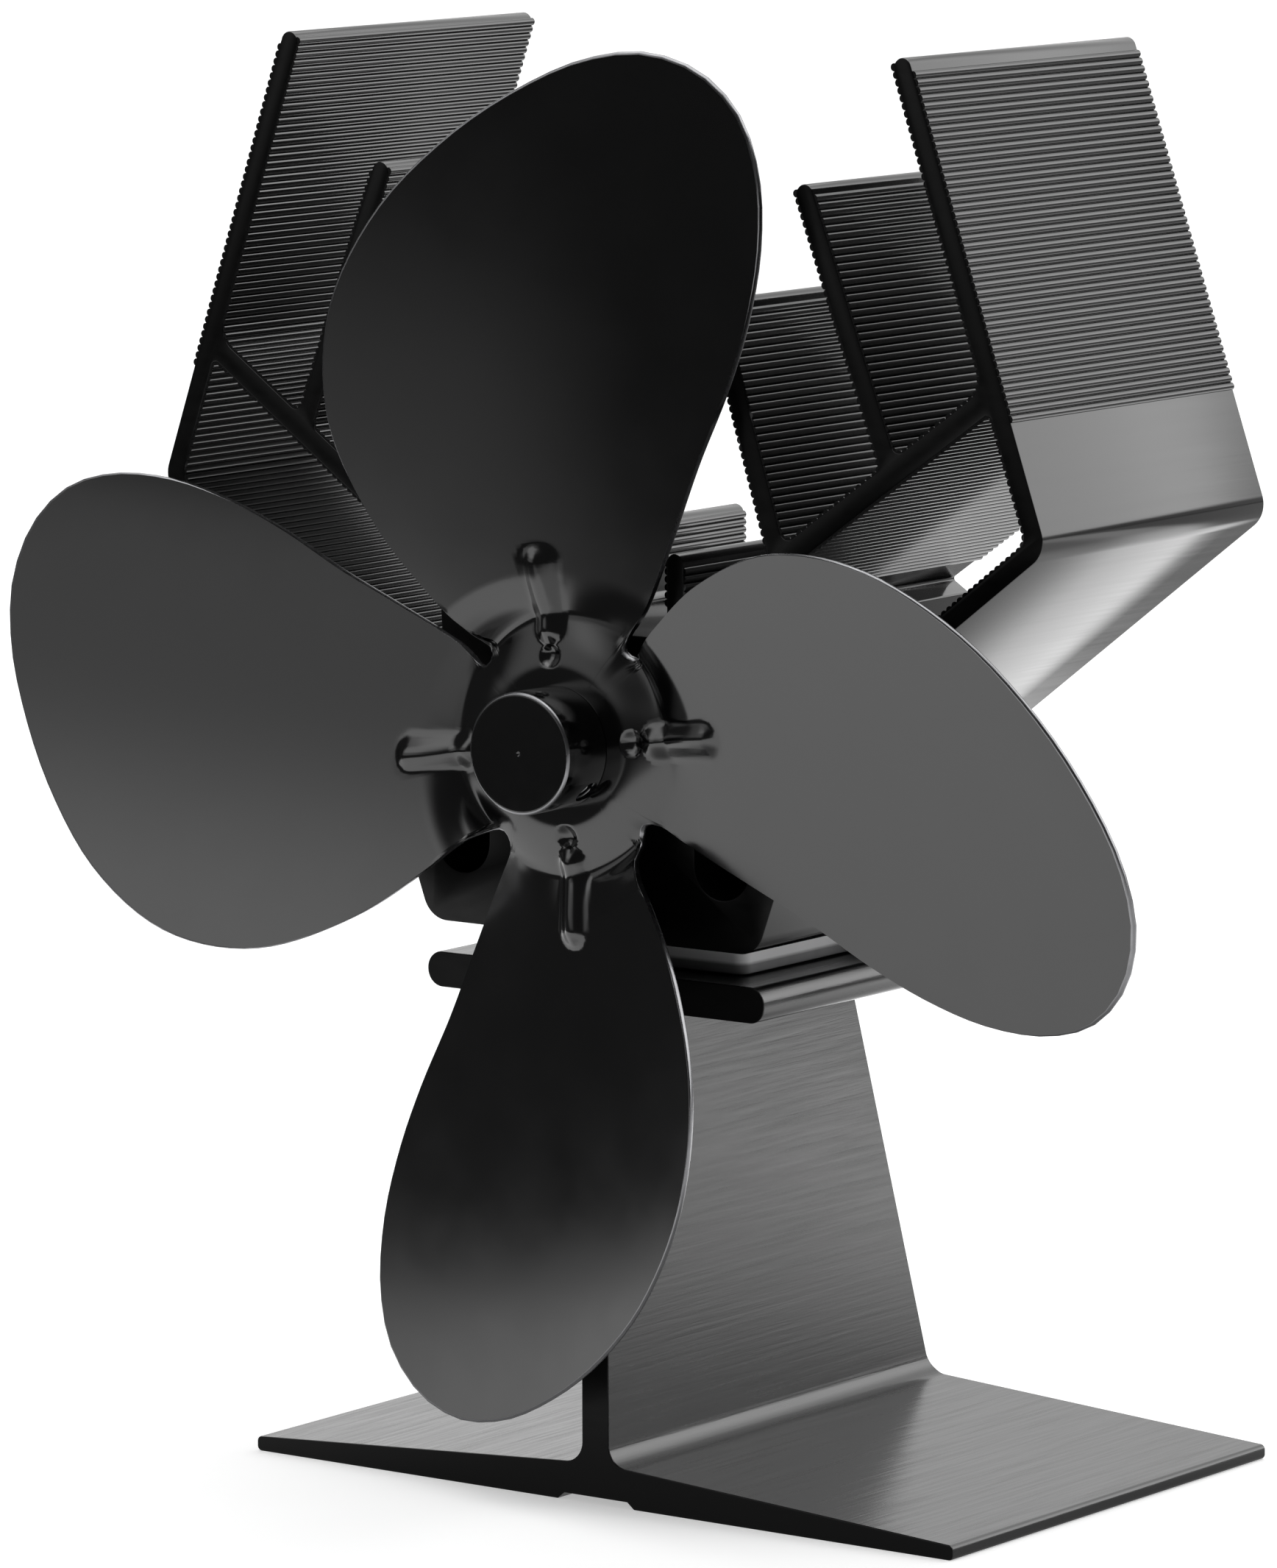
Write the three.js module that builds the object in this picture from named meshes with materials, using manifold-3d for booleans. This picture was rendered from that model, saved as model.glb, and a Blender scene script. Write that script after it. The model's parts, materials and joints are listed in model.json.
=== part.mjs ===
import * as THREE from 'three';
import { mergeVertices } from 'three/addons/utils/BufferGeometryUtils.js';
import Module from 'manifold-3d';

const wasm = await Module();
wasm.setup();

// Lengths are in millimetres and angles in degrees. X runs to the right, Y to the back, Z up.
// The front edge of the foot lies on y = 0, and the underside of the foot on z = 0. At the end
// the whole object is moved along Y so that the origin lies under its middle.

// Clearances
const seatGap = 0.3;
const motorFit = 0.2;
const frameFit = 0.2;
const cutOverrun = 1;

// Stand: one extrusion with a foot, an upright web and a top plate
const footWidth = 115;
const footDepth = 75.3;
const footEdgeThickness = 2;
const footRootThickness = 5.5;
const footEdgeRadius = 0.7;
const webThickness = 4.4;
const webFootFillet = 2.9;
const webPlateFillet = 1.6;
const standHeight = 72.1;
const plateWidth = 55.2;
const plateThickness = 4.8;
const plateEndRadius = 2.3;
const webTopDepth = 54.7;
const grooveMouth = 12.6;
const grooveFloor = 10.4;
const grooveDepth = 0.9;

// Bimetal strip in the groove under the foot, with its screw
const stripWidth = 9.4;
const stripLength = 46;
const stripThickness = 0.6;
const stripEndMargin = 5;
const stripScrewRadius = 1.2;
const stripScrewHead = 2.3;
const stripScrewHeadHeight = 0.35;
const stripScrewLength = 3.4;

// Generator stack between the top plate and the heat sink
const moduleSize = 30;
const ceramicThickness = 0.8;
const legHeight = 2;
const legSize = 2.6;
const legPitch = 4.7;
const legsPerSide = 6;
const bridgeThickness = 0.3;
const padThickness = 0.35;
const frameSize = 40;
const frameWall = 4.6;
const frameCornerRadius = 1.7;
const moduleCentreDepth = 26;
const leadNotchWidth = 4.2;
const leadNotchHeight = 2;

// Clamp screws from under the plate into the heat sink
const clampScrewRadius = 1.5;
const clampScrewLength = 12.4;
const clampHeadRadius = 2.7;
const clampHeadHeight = 1.6;
const clampRecessDepth = 2.6;
const clampWasherThickness = 0.5;
const clampSleeveWall = 0.6;
const clampScrewSpread = 22.8;
const clampScrewOffset = 8.5;
const clampThreadDepth = 6;

// Heat sink: heights are above its own underside
const sinkDepth = 52.1;
const sinkFrontOverhang = 0.5;
const sinkFootHalf = 26.8;
const sinkFootRadius = 4;
const waistHalf = 30.1;
const waistRise = 9.1;
const waistRadius = 3.5;
const shoulderHalf = 31;
const shoulderRise = 24.3;
const shoulderRadius = 1.7;
const panelAngle = 37.7;
const panelThickness = 2.6;
const elbowRadius = 3.6;
const armRootRise = 42.7;
const armAngle = 35.3;
const armThickness = 2.9;
const outerFin = { tipX: 49.6, topRise: 117.5, lean: 19.1, thickness: 2.7 };
const middleFin = { tipX: 34.4, topRise: 100.8, lean: 20.9, thickness: 2.65 };
const innerFin = { tipX: 20.2, topRise: 85.3, lean: 17.4, thickness: 2.65 };
const shortFin = { tipX: 13.75, topRise: 51.8, lean: 0, thickness: 2.65 };
const finRootRadius = 1.3;
const outerRootRadius = 3.4;
const channelRise = 40.6;
const channelRadius = 1.5;
const loopRadius = 1.6;
const loopElbowRadius = 2.3;
const loopTipRadius = 0.8;
const cheekTopX = 24.7;
const cheekTopRise = 42.3;
const cheekBottomX = 23.7;
const ledgeWidth = 2.7;
const ledgeRadius = 0.4;
const slotX = 21.2;
const slotLowRise = 11.2;
const slotHighRise = 14.6;
const slotRadius = 4.4;
const axisRise = 26.2;
const filletStep = 24;

// Motor: its axis runs along Y, and its front face lies just inside the bore
const motorRadius = 12.2;
const motorFront = 1.5;
const motorLength = 26.5;
const canWall = 1;
const canEdge = 0.8;
const bossRadius = 3.9;
const bossLength = 1.3;
const bushRadius = 2.8;
const bushLength = 3.2;
const shaftRadius = 1;
const shaftTail = 1.2;
const magnetThickness = 2.3;
const magnetLength = 15;
const magnetArc = 130;
const magnetStart = 4;
const armatureRadius = 8;
const armatureLength = 12;
const armatureStart = 5.5;
const coreHubRadius = 2.6;
const poleNeck = 2.4;
const poleShoe = 1.7;
const poleSweep = 92;
const poleCount = 3;
const coilWidth = 5.6;
const coilOverhang = 1.6;
const commutatorRadius = 2.4;
const commutatorLength = 4;
const commutatorStart = 19.6;
const commutatorSlit = 0.4;
const capPlate = 2;
const capBossRadius = 4;
const capBossLength = 1.6;
const brushBlock = 1.1;
const brushWidth = 1.8;
const brushLeaf = 0.4;
const terminalSpread = 7;
const terminalWidth = 2.6;
const terminalThickness = 0.5;
const terminalLength = 6.5;

// Set screw in the floor of the channel above the motor
const setScrewRadius = 1.5;
const setScrewDepth = 33;
const setScrewSocket = 0.85;

// Leads from the module up through the heat sink to the motor's tabs
const leadRadius = 0.6;
const leadSideOffset = 0.95;
const leadHoleRadius = 2.1;
const leadHoleSetback = 2.4;
const leadBend = 2.3;
const leadSides = 8;
const leadSteps = 30;
const leadTailShares = [[1.2, 0.35, 0.1], [2.6, 0.62, 0.34], [5.2, 0.9, 0.62]];

// Rotor: hub, stamped blade sheet and their fastenings
const hubRadius = 8.1;
const hubFront = -16.2;
const hubLength = 8.4;
const hubBevel = 0.5;
const spigotRadius = 5;
const sheetThickness = 1;
const ringThickness = 1.2;
const ringRadius = 7.6;
const spigotLip = 0.4;
const hubNose = 1.5;
const grubRadius = 1.45;
const grubLength = 5.2;
const grubSocket = 0.85;
const grubSocketDepth = 1.6;
const grubSetback = 6.8;
const grubAngle = -42;
const rotorTurn = -8.7;
const bladeCount = 4;
const tipRadius = 92.6;
const flatRadius = 12;
const stepRadius = 17.3;
const twistEnd = 23;
const notchRadius = 16.1;
const notchEdge = 3;
const bladePlane = 11.1;
const pitchRoot = 13.7;
const pitchTip = 11.4;
const bladeLean = 3.1;
const camberRadius = 170;
const beadTurn = 15.2;
const beadStart = 14.6;
const beadEnd = 23.9;
const beadHalfWidth = 2.4;
const beadHeight = 1.3;
const dimplePlace = 11.3;
const dimpleRadius = 1.7;
const dimpleDepth = 0.6;
const outlineSteps = 104;
const sheetRings = 8;
const ringGrading = 1.35;

// One blade's plan outline from notch to notch, along and across the blade, in tip radii
const bladeOutlineShares = [
  [0.175, -0.079],
  [0.221, -0.097],
  [0.333, -0.127],
  [0.443, -0.155],
  [0.559, -0.191],
  [0.66, -0.213],
  [0.765, -0.221],
  [0.865, -0.207],
  [0.94, -0.17],
  [0.988, -0.104],
  [1.001, -0.02],
  [0.978, 0.065],
  [0.93, 0.146],
  [0.841, 0.248],
  [0.714, 0.342],
  [0.559, 0.394],
  [0.4, 0.381],
  [0.26, 0.303],
  [0.173, 0.218],
  [0.126, 0.164],
  [0.097, 0.149],
  [0.08, 0.157],
];

// Places worked out from the sizes
const plateBottom = standHeight - plateThickness;
const moduleHeight = 2 * ceramicThickness + legHeight;
const stackHeight = moduleHeight + 2 * padThickness;
const sinkBottom = standHeight + stackHeight;
const sinkFront = -sinkFrontOverhang;
const axisHeight = sinkBottom + axisRise;
const motorBack = motorFront + motorLength;
const boreRadius = motorRadius + motorFit;
const hubBack = hubFront + hubLength;
const sheetBack = hubBack + sheetThickness;
const ringBack = sheetBack + ringThickness;
const spigotBack = ringBack + spigotLip;
const canInner = motorRadius - canWall;
const shaftHole = shaftRadius + seatGap;

const rad = THREE.MathUtils.degToRad;

// Finishes
const finish = (color, roughness, metalness) => (
  new THREE.MeshStandardMaterial({ color, roughness, metalness })
);
const blackAnodised = finish(0x17181a, 0.42, 0.75);
const blackSatin = finish(0x1c1d1f, 0.36, 0.55);
const blackTurned = finish(0x0f1011, 0.3, 0.7);
const steel = finish(0xb4b6b8, 0.3, 1);
const darkSteel = finish(0x3a3b3d, 0.4, 0.9);
const brass = finish(0xc2a15a, 0.35, 1);
const copper = finish(0xb06a3c, 0.4, 1);
const graphite = finish(0x3b3c3e, 0.8, 0.2);
const ceramic = finish(0xe9e7e0, 0.6, 0);
const telluride = finish(0x6b6e73, 0.45, 0.6);
const ferrite = finish(0x2b2a2a, 0.75, 0.1);
const silicone = finish(0x9b9c9c, 0.5, 0.1);
const nylon = finish(0xe4e0d2, 0.6, 0);
const redSleeve = finish(0xa81e1e, 0.5, 0);
const blackSleeve = finish(0x151515, 0.5, 0);

// A closed mesh becomes a solid that can be joined and cut, and comes back as a geometry.
function toSolid(geometry) {
  const bare = geometry.clone();
  bare.deleteAttribute('normal');
  bare.deleteAttribute('uv');
  const merged = mergeVertices(bare, cutOverrun / 1e5);
  const mesh = new wasm.Mesh({
    numProp: 3,
    vertProperties: new Float32Array(merged.attributes.position.array),
    triVerts: new Uint32Array(merged.index.array),
  });
  return new wasm.Manifold(mesh);
}

function toGeometry(solid) {
  const mesh = solid.getMesh();
  const geometry = new THREE.BufferGeometry();
  const positions = new Float32Array(mesh.numVert * 3);
  for (let i = 0; i < mesh.numVert; i += 1) {
    positions.set(mesh.vertProperties.subarray(i * mesh.numProp, i * mesh.numProp + 3), i * 3);
  }
  geometry.setAttribute('position', new THREE.BufferAttribute(positions, 3));
  geometry.setIndex(new THREE.BufferAttribute(new Uint32Array(mesh.triVerts), 1));
  geometry.computeVertexNormals();
  return geometry;
}

function cut(body, ...tools) {
  return toGeometry(tools.reduce((rest, tool) => rest.subtract(toSolid(tool)), toSolid(body)));
}

function join(body, ...others) {
  return toGeometry(others.reduce((sum, other) => sum.add(toSolid(other)), toSolid(body)));
}

function common(body, other) {
  return toGeometry(toSolid(body).intersect(toSolid(other)));
}

function part(name, geometry, material) {
  const mesh = new THREE.Mesh(geometry, material);
  mesh.name = name;
  return mesh;
}

// Basic forms
function box(width, depth, height) {
  return new THREE.BoxGeometry(width, depth, height);
}

// A block whose centre is given in x and y and its underside in z
function block(width, depth, height, x, y, bottom) {
  return box(width, depth, height).translate(x, y, bottom + height / 2);
}

// A profile of [radius, y] points turned about the Y axis
function turned(profile, sides) {
  const points = profile.map(([radius, y]) => new THREE.Vector2(radius, y));
  return new THREE.LatheGeometry(points, sides);
}

// A ring turned about the Y axis from y = start to y = end
function ring(inner, outer, start, end, sides) {
  return turned([[inner, start], [outer, start], [outer, end], [inner, end], [inner, start]], sides);
}

// A rod from one point to another
function rod(radius, from, to, sides) {
  const along = to.clone().sub(from);
  const geometry = new THREE.CylinderGeometry(radius, radius, along.length(), sides);
  const turn = new THREE.Quaternion().setFromUnitVectors(
    new THREE.Vector3(0, 1, 0),
    along.clone().normalize(),
  );
  geometry.applyQuaternion(turn);
  const middle = from.clone().add(to).multiplyScalar(1 / 2);
  return geometry.translate(middle.x, middle.y, middle.z);
}

// An outline in x and z, carried back along Y from y = start
function drawn(outline, start, depth, holes = []) {
  const shape = new THREE.Shape(outline);
  shape.holes = holes.map((hole) => new THREE.Path(hole));
  const geometry = new THREE.ExtrudeGeometry(shape, { depth, bevelEnabled: false });
  return geometry.rotateX(rad(90)).translate(0, start + depth, 0);
}

function circle(x, z, radius, sides) {
  return Array.from({ length: sides }, (_, i) => {
    const angle = rad((360 * i) / sides);
    return new THREE.Vector2(x + radius * Math.cos(angle), z + radius * Math.sin(angle));
  });
}

// Outlines with rounded corners. A corner is { x, z, radius }.
const corner = (x, z, radius = 0) => ({ x, z, radius });

function filletAt(before, here, after) {
  const point = new THREE.Vector2(here.x, here.z);
  if (here.radius === 0) return [point];
  const back = new THREE.Vector2(before.x, before.z).sub(point).normalize();
  const on = new THREE.Vector2(after.x, after.z).sub(point).normalize();
  const half = Math.acos(back.dot(on)) / 2;
  const reach = here.radius / Math.tan(half);
  const middle = back.clone().add(on).normalize().multiplyScalar(here.radius / Math.sin(half));
  const centre = point.clone().add(middle);
  const first = point.clone().addScaledVector(back, reach).sub(centre);
  const last = point.clone().addScaledVector(on, reach).sub(centre);
  const sweep = Math.atan2(first.cross(last), first.dot(last));
  const steps = Math.max(2, Math.ceil(Math.abs(sweep) / rad(filletStep)));
  return Array.from({ length: steps + 1 }, (_, i) => (
    first.clone().rotateAround(new THREE.Vector2(), (sweep * i) / steps).add(centre)
  ));
}

function filleted(corners) {
  const points = corners.flatMap((here, i) => (
    filletAt(corners.at(i - 1), here, corners[(i + 1) % corners.length])
  ));
  return points.filter((point, i) => point.distanceTo(points.at(i - 1)) > cutOverrun / 1e4);
}

// Straight lines in the profile: a point and a direction
const line = (x, z, angle) => ({ x, z, dx: Math.cos(rad(angle)), dz: Math.sin(rad(angle)) });

function shifted(from, distance) {
  return { ...from, x: from.x - distance * from.dz, z: from.z + distance * from.dx };
}

function crossing(a, b, radius) {
  const scale = a.dx * b.dz - a.dz * b.dx;
  const along = ((b.x - a.x) * b.dz - (b.z - a.z) * b.dx) / scale;
  return corner(a.x + along * a.dx, a.z + along * a.dz, radius);
}

const mirrored = (corners) => corners.map(({ x, z, radius }) => corner(-x, z, radius)).reverse();

// Stand
function standOutline() {
  const footTop = line(
    footWidth / 2,
    footEdgeThickness,
    180 - THREE.MathUtils.radToDeg(
      Math.atan((footRootThickness - footEdgeThickness) / ((footWidth - webThickness) / 2)),
    ),
  );
  const webFace = line(webThickness / 2, 0, 90);
  const right = [
    corner(grooveFloor / 2, grooveDepth),
    corner(grooveMouth / 2, 0),
    corner(footWidth / 2, 0, footEdgeRadius),
    corner(footWidth / 2, footEdgeThickness, footEdgeRadius),
    crossing(footTop, webFace, webFootFillet),
    corner(webThickness / 2, plateBottom, webPlateFillet),
    corner(plateWidth / 2, plateBottom, plateEndRadius),
    corner(plateWidth / 2, standHeight, plateEndRadius),
  ];
  return filleted([...right, ...mirrored(right)]);
}

const clampSides = 24;
const clampHoleRadius = clampScrewRadius + clampSleeveWall + 2 * seatGap;
const clampRecessRadius = clampHeadRadius + seatGap;
const clampPlaces = [-1, 1].map((side) => (
  new THREE.Vector3(side * clampScrewSpread, moduleCentreDepth + side * clampScrewOffset, 0)
));
const stripScrewPlace = new THREE.Vector3(0, footDepth - 2 * stripEndMargin, 0);

const at = (place, z) => new THREE.Vector3(place.x, place.y, z);

function baseStand() {
  const blank = drawn(standOutline(), 0, footDepth);
  const slope = Math.atan((footDepth - webTopDepth) / (plateBottom - footRootThickness));
  const keep = box(2 * footWidth, 2 * footDepth, 4 * standHeight)
    .translate(0, -footDepth, 0)
    .rotateX(slope)
    .translate(0, footDepth, footRootThickness);
  const holes = clampPlaces.flatMap((place) => [
    rod(
      clampHoleRadius,
      at(place, plateBottom - cutOverrun),
      at(place, standHeight + cutOverrun),
      clampSides,
    ),
    rod(
      clampRecessRadius,
      at(place, plateBottom - cutOverrun),
      at(place, plateBottom + clampRecessDepth),
      clampSides,
    ),
  ]);
  const stripHole = rod(
    stripScrewRadius + seatGap,
    at(stripScrewPlace, -cutOverrun),
    at(stripScrewPlace, stripScrewLength + seatGap),
    clampSides,
  );
  return part('base_stand', cut(common(blank, keep), ...holes, stripHole), blackAnodised);
}

const stripBottom = grooveDepth - stripThickness;

function bimetalStrip() {
  const strip = block(
    stripWidth,
    stripLength,
    stripThickness,
    0,
    footDepth - stripEndMargin - stripLength / 2,
    stripBottom,
  );
  const hole = rod(
    stripScrewRadius + seatGap,
    at(stripScrewPlace, -cutOverrun),
    at(stripScrewPlace, cutOverrun),
    clampSides,
  );
  const recess = rod(
    stripScrewHead + seatGap,
    at(stripScrewPlace, -cutOverrun),
    at(stripScrewPlace, stripBottom + stripScrewHeadHeight),
    clampSides,
  );
  return part('bimetal_strip', cut(strip, hole, recess), brass);
}

// A screw with its tip up: a head on a shank, turned about Z
function upwardScrew(shank, length, head, headHeight) {
  const profile = [
    [0, 0],
    [head, 0],
    [head, headHeight],
    [shank, headHeight],
    [shank, headHeight + length],
    [0, headHeight + length],
  ];
  return turned(profile, clampSides).rotateX(rad(90));
}

function stripScrew() {
  const geometry = upwardScrew(
    stripScrewRadius,
    stripScrewLength - stripScrewHeadHeight - stripBottom,
    stripScrewHead,
    stripScrewHeadHeight,
  );
  const mesh = part('strip_screw', geometry, steel);
  mesh.position.copy(at(stripScrewPlace, stripBottom));
  return mesh;
}

// Generator stack
function slab(name, size, thickness, bottom, material) {
  return part(name, block(size, size, thickness, 0, moduleCentreDepth, bottom), material);
}

// The legs stand in rows. Bridges join them one after another, at the top and the bottom in turn.
function moduleLegs(bottom) {
  const start = (-legPitch * (legsPerSide - 1)) / 2;
  const places = [];
  for (let row = 0; row < legsPerSide; row += 1) {
    for (let step = 0; step < legsPerSide; step += 1) {
      const column = row % 2 === 0 ? step : legsPerSide - 1 - step;
      const x = start + column * legPitch;
      const y = moduleCentreDepth + start + row * legPitch;
      places.push(new THREE.Vector3(x, y, bottom));
    }
  }
  const legs = places.map(({ x, y }) => block(legSize, legSize, legHeight, x, y, bottom));
  const bridges = places.slice(1).map((place, i) => {
    const middle = place.clone().add(places[i]).multiplyScalar(1 / 2);
    const span = place.clone().sub(places[i]);
    const level = i % 2 === 0 ? bottom + legHeight - bridgeThickness : bottom;
    const width = Math.abs(span.x) + legSize;
    const depth = Math.abs(span.y) + legSize;
    return block(width, depth, bridgeThickness, middle.x, middle.y, level);
  });
  return part('module_legs', join(...legs, ...bridges), telluride);
}

function moduleFrame() {
  const half = frameSize / 2;
  const inner = half - frameWall;
  const outline = filleted([
    corner(-half, -half, frameCornerRadius),
    corner(half, -half, frameCornerRadius),
    corner(half, half, frameCornerRadius),
    corner(-half, half, frameCornerRadius),
  ]);
  const opening = [
    new THREE.Vector2(-inner, -inner),
    new THREE.Vector2(inner, -inner),
    new THREE.Vector2(inner, inner),
    new THREE.Vector2(-inner, inner),
  ];
  const height = stackHeight - 2 * frameFit;
  const shape = new THREE.Shape(outline);
  shape.holes = [new THREE.Path(opening)];
  const body = new THREE.ExtrudeGeometry(shape, { depth: height, bevelEnabled: false })
    .translate(0, moduleCentreDepth, standHeight + frameFit);
  const notch = block(
    leadNotchWidth,
    frameWall + 2 * cutOverrun,
    leadNotchHeight,
    0,
    moduleCentreDepth + half - frameWall / 2,
    leadHeight - leadNotchHeight / 2,
  );
  return part('module_frame', cut(body, notch), silicone);
}

const leadHeight = standHeight + stackHeight / 2;
const leadHoleDepth = moduleCentreDepth + frameSize / 2 + leadHoleSetback;

function generatorStack() {
  const group = new THREE.Group();
  const hotBottom = standHeight + padThickness;
  const legBottom = hotBottom + ceramicThickness;
  const coldBottom = legBottom + legHeight;
  group.add(slab('lower_pad', moduleSize, padThickness, standHeight, graphite));
  group.add(slab('module_hot_plate', moduleSize, ceramicThickness, hotBottom, ceramic));
  group.add(moduleLegs(legBottom));
  group.add(slab('module_cold_plate', moduleSize, ceramicThickness, coldBottom, ceramic));
  group.add(slab('upper_pad', moduleSize, padThickness, coldBottom + ceramicThickness, graphite));
  group.add(moduleFrame());
  return group;
}

function clampSet(place, side) {
  const group = new THREE.Group();
  const headTop = plateBottom + clampRecessDepth - clampWasherThickness;
  const sleeveOuter = clampHoleRadius - seatGap;
  const sleeveInner = sleeveOuter - clampSleeveWall;
  const upright = (geometry) => geometry.rotateX(rad(90));
  const screw = upwardScrew(clampScrewRadius, clampScrewLength, clampHeadRadius, clampHeadHeight);
  const screwMesh = part(`clamp_screw_${side}`, screw, darkSteel);
  screwMesh.position.copy(at(place, headTop - clampHeadHeight));
  const washer = ring(sleeveInner, clampHeadRadius, 0, clampWasherThickness, clampSides);
  const washerMesh = part(`clamp_washer_${side}`, upright(washer), steel);
  washerMesh.position.copy(at(place, headTop));
  const sleeveLength = plateThickness - clampRecessDepth;
  const sleeve = ring(sleeveInner, sleeveOuter, 0, sleeveLength, clampSides);
  const sleeveMesh = part(`clamp_sleeve_${side}`, upright(sleeve), nylon);
  sleeveMesh.position.copy(at(place, headTop + clampWasherThickness));
  group.add(screwMesh, washerMesh, sleeveMesh);
  return group;
}

// Heat sink profile. A fin's two faces and its round tip follow from its tip and its lean.
function finFaces(fin) {
  const half = fin.thickness / 2;
  const centre = line(fin.tipX, fin.topRise - half, 90 + fin.lean);
  const outer = shifted(centre, -half);
  const inner = shifted(centre, half);
  const tip = (face) => corner(face.x + half * face.dx, face.z + half * face.dz, half);
  return { outer, inner, outerTip: tip(outer), innerTip: tip(inner) };
}

const shortFace = shortFin.tipX + shortFin.thickness / 2;
const armTop = line(shortFace, armRootRise, armAngle);
const armUnder = shifted(armTop, -armThickness);
const panelOuter = line(shoulderHalf, shoulderRise, panelAngle);
const panelInner = shifted(panelOuter, panelThickness);
const cheekAngle = THREE.MathUtils.radToDeg(Math.atan2(
  cheekTopRise - crossing(panelInner, line(cheekBottomX, 0, 90), 0).z,
  cheekTopX - cheekBottomX,
));
const cheek = line(cheekTopX, cheekTopRise, cheekAngle);

function sinkOutline() {
  const outer = finFaces(outerFin);
  const middle = finFaces(middleFin);
  const inner = finFaces(innerFin);
  const short = finFaces(shortFin);
  const right = [
    corner(sinkFootHalf, 0, sinkFootRadius),
    corner(waistHalf, waistRise, waistRadius),
    corner(shoulderHalf, shoulderRise, shoulderRadius),
    crossing(panelOuter, outer.outer, elbowRadius),
    outer.outerTip,
    outer.innerTip,
    crossing(outer.inner, armTop, outerRootRadius),
    crossing(middle.outer, armTop, finRootRadius),
    middle.outerTip,
    middle.innerTip,
    crossing(middle.inner, armTop, finRootRadius),
    crossing(inner.outer, armTop, finRootRadius),
    inner.outerTip,
    inner.innerTip,
    crossing(inner.inner, armTop, finRootRadius),
    crossing(short.outer, armTop, finRootRadius),
    short.outerTip,
    short.innerTip,
    corner(shortFin.tipX - shortFin.thickness / 2, channelRise, channelRadius),
  ];
  return filleted([...right, ...mirrored(right)]);
}

function loopCorners() {
  const outer = finFaces(outerFin);
  return [
    crossing(armUnder, line(cheekTopX - ledgeWidth, 0, 90), ledgeRadius),
    corner(cheekTopX, cheekTopRise, ledgeRadius),
    crossing(cheek, panelInner, loopRadius),
    crossing(panelInner, outer.inner, loopElbowRadius),
    crossing(outer.inner, armUnder, loopTipRadius),
  ];
}

const boreSides = 48;
const drillSides = 16;

function slotCorners() {
  const low = slotLowRise - slotRadius;
  const high = slotHighRise + slotRadius;
  return [
    corner(slotX - slotRadius, low, slotRadius),
    corner(slotX + slotRadius, low, slotRadius),
    corner(slotX + slotRadius, high, slotRadius),
    corner(slotX - slotRadius, high, slotRadius),
  ];
}

function heatSink() {
  const holes = [
    filleted(loopCorners()),
    filleted(mirrored(loopCorners())),
    filleted(slotCorners()),
    filleted(mirrored(slotCorners())),
    circle(0, axisRise, boreRadius, boreSides),
  ];
  const blank = drawn(sinkOutline(), sinkFront, sinkDepth, holes);
  const threads = clampPlaces.map((place) => (
    rod(clampScrewRadius + seatGap, at(place, -cutOverrun), at(place, clampThreadDepth), clampSides)
  ));
  const setPlace = new THREE.Vector3(0, setScrewDepth, 0);
  const setHole = rod(
    setScrewRadius + seatGap,
    at(setPlace, axisRise + motorRadius / 2),
    at(setPlace, channelRise + cutOverrun),
    drillSides,
  );
  const leadPlace = new THREE.Vector3(0, leadHoleDepth, 0);
  const leadHole = rod(
    leadHoleRadius,
    at(leadPlace, -cutOverrun),
    at(leadPlace, axisRise - boreRadius / 2),
    drillSides,
  );
  const mesh = part('heat_sink', cut(blank, ...threads, setHole, leadHole), blackAnodised);
  mesh.position.z = sinkBottom;
  return mesh;
}

function motorSetScrew() {
  const bottom = axisRise + motorRadius + motorFit;
  const length = channelRise - bottom;
  const body = rod(setScrewRadius, new THREE.Vector3(), new THREE.Vector3(0, 0, length), drillSides);
  const socket = rod(
    setScrewSocket,
    new THREE.Vector3(0, 0, length / 2),
    new THREE.Vector3(0, 0, length + cutOverrun),
    6,
  );
  const mesh = part('motor_set_screw', cut(body, socket), darkSteel);
  mesh.position.set(0, setScrewDepth, sinkBottom + bottom);
  return mesh;
}

// Motor, drawn about the Y axis and placed at the axis height
const motorSides = 48;
const smallSides = 24;

function motorCan() {
  const profile = [
    [bushRadius + seatGap, motorFront - bossLength],
    [bossRadius, motorFront - bossLength],
    [bossRadius, motorFront],
    [motorRadius - canEdge, motorFront],
    [motorRadius, motorFront + canEdge],
    [motorRadius, motorBack],
    [canInner, motorBack],
    [canInner, motorFront + canWall],
    [bushRadius + seatGap, motorFront + canWall],
    [bushRadius + seatGap, motorFront - bossLength],
  ];
  return part('motor_can', turned(profile, motorSides), steel);
}

// A curved plate between two radii that spans an arc about an angle
function arcPlate(inner, outer, angle, arc, start, length) {
  const steps = Math.ceil(arc / filletStep) + 2;
  const edge = (radius, i) => {
    const turn = rad(angle - arc / 2 + (arc * i) / steps);
    return new THREE.Vector2(radius * Math.cos(turn), radius * Math.sin(turn));
  };
  const places = Array.from({ length: steps + 1 }, (_, i) => i);
  const outline = [
    ...places.map((i) => edge(outer, i)),
    ...places.reverse().map((i) => edge(inner, i)),
  ];
  return drawn(outline, start, length);
}

function magnet(name, angle) {
  const outer = canInner - seatGap;
  const plate = arcPlate(
    outer - magnetThickness,
    outer,
    angle,
    magnetArc,
    motorFront + magnetStart,
    magnetLength,
  );
  return part(name, plate, ferrite);
}

function frontBush() {
  const start = motorFront - bossLength;
  return part('front_bush', ring(shaftHole, bushRadius, start, start + bushLength, smallSides), brass);
}

const capFront = motorBack - capPlate;
const capBossBack = motorBack + capBossLength;

function rearBush() {
  const start = capBossBack - bushLength;
  return part('rear_bush', ring(shaftHole, bushRadius, start, capBossBack, smallSides), brass);
}

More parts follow.
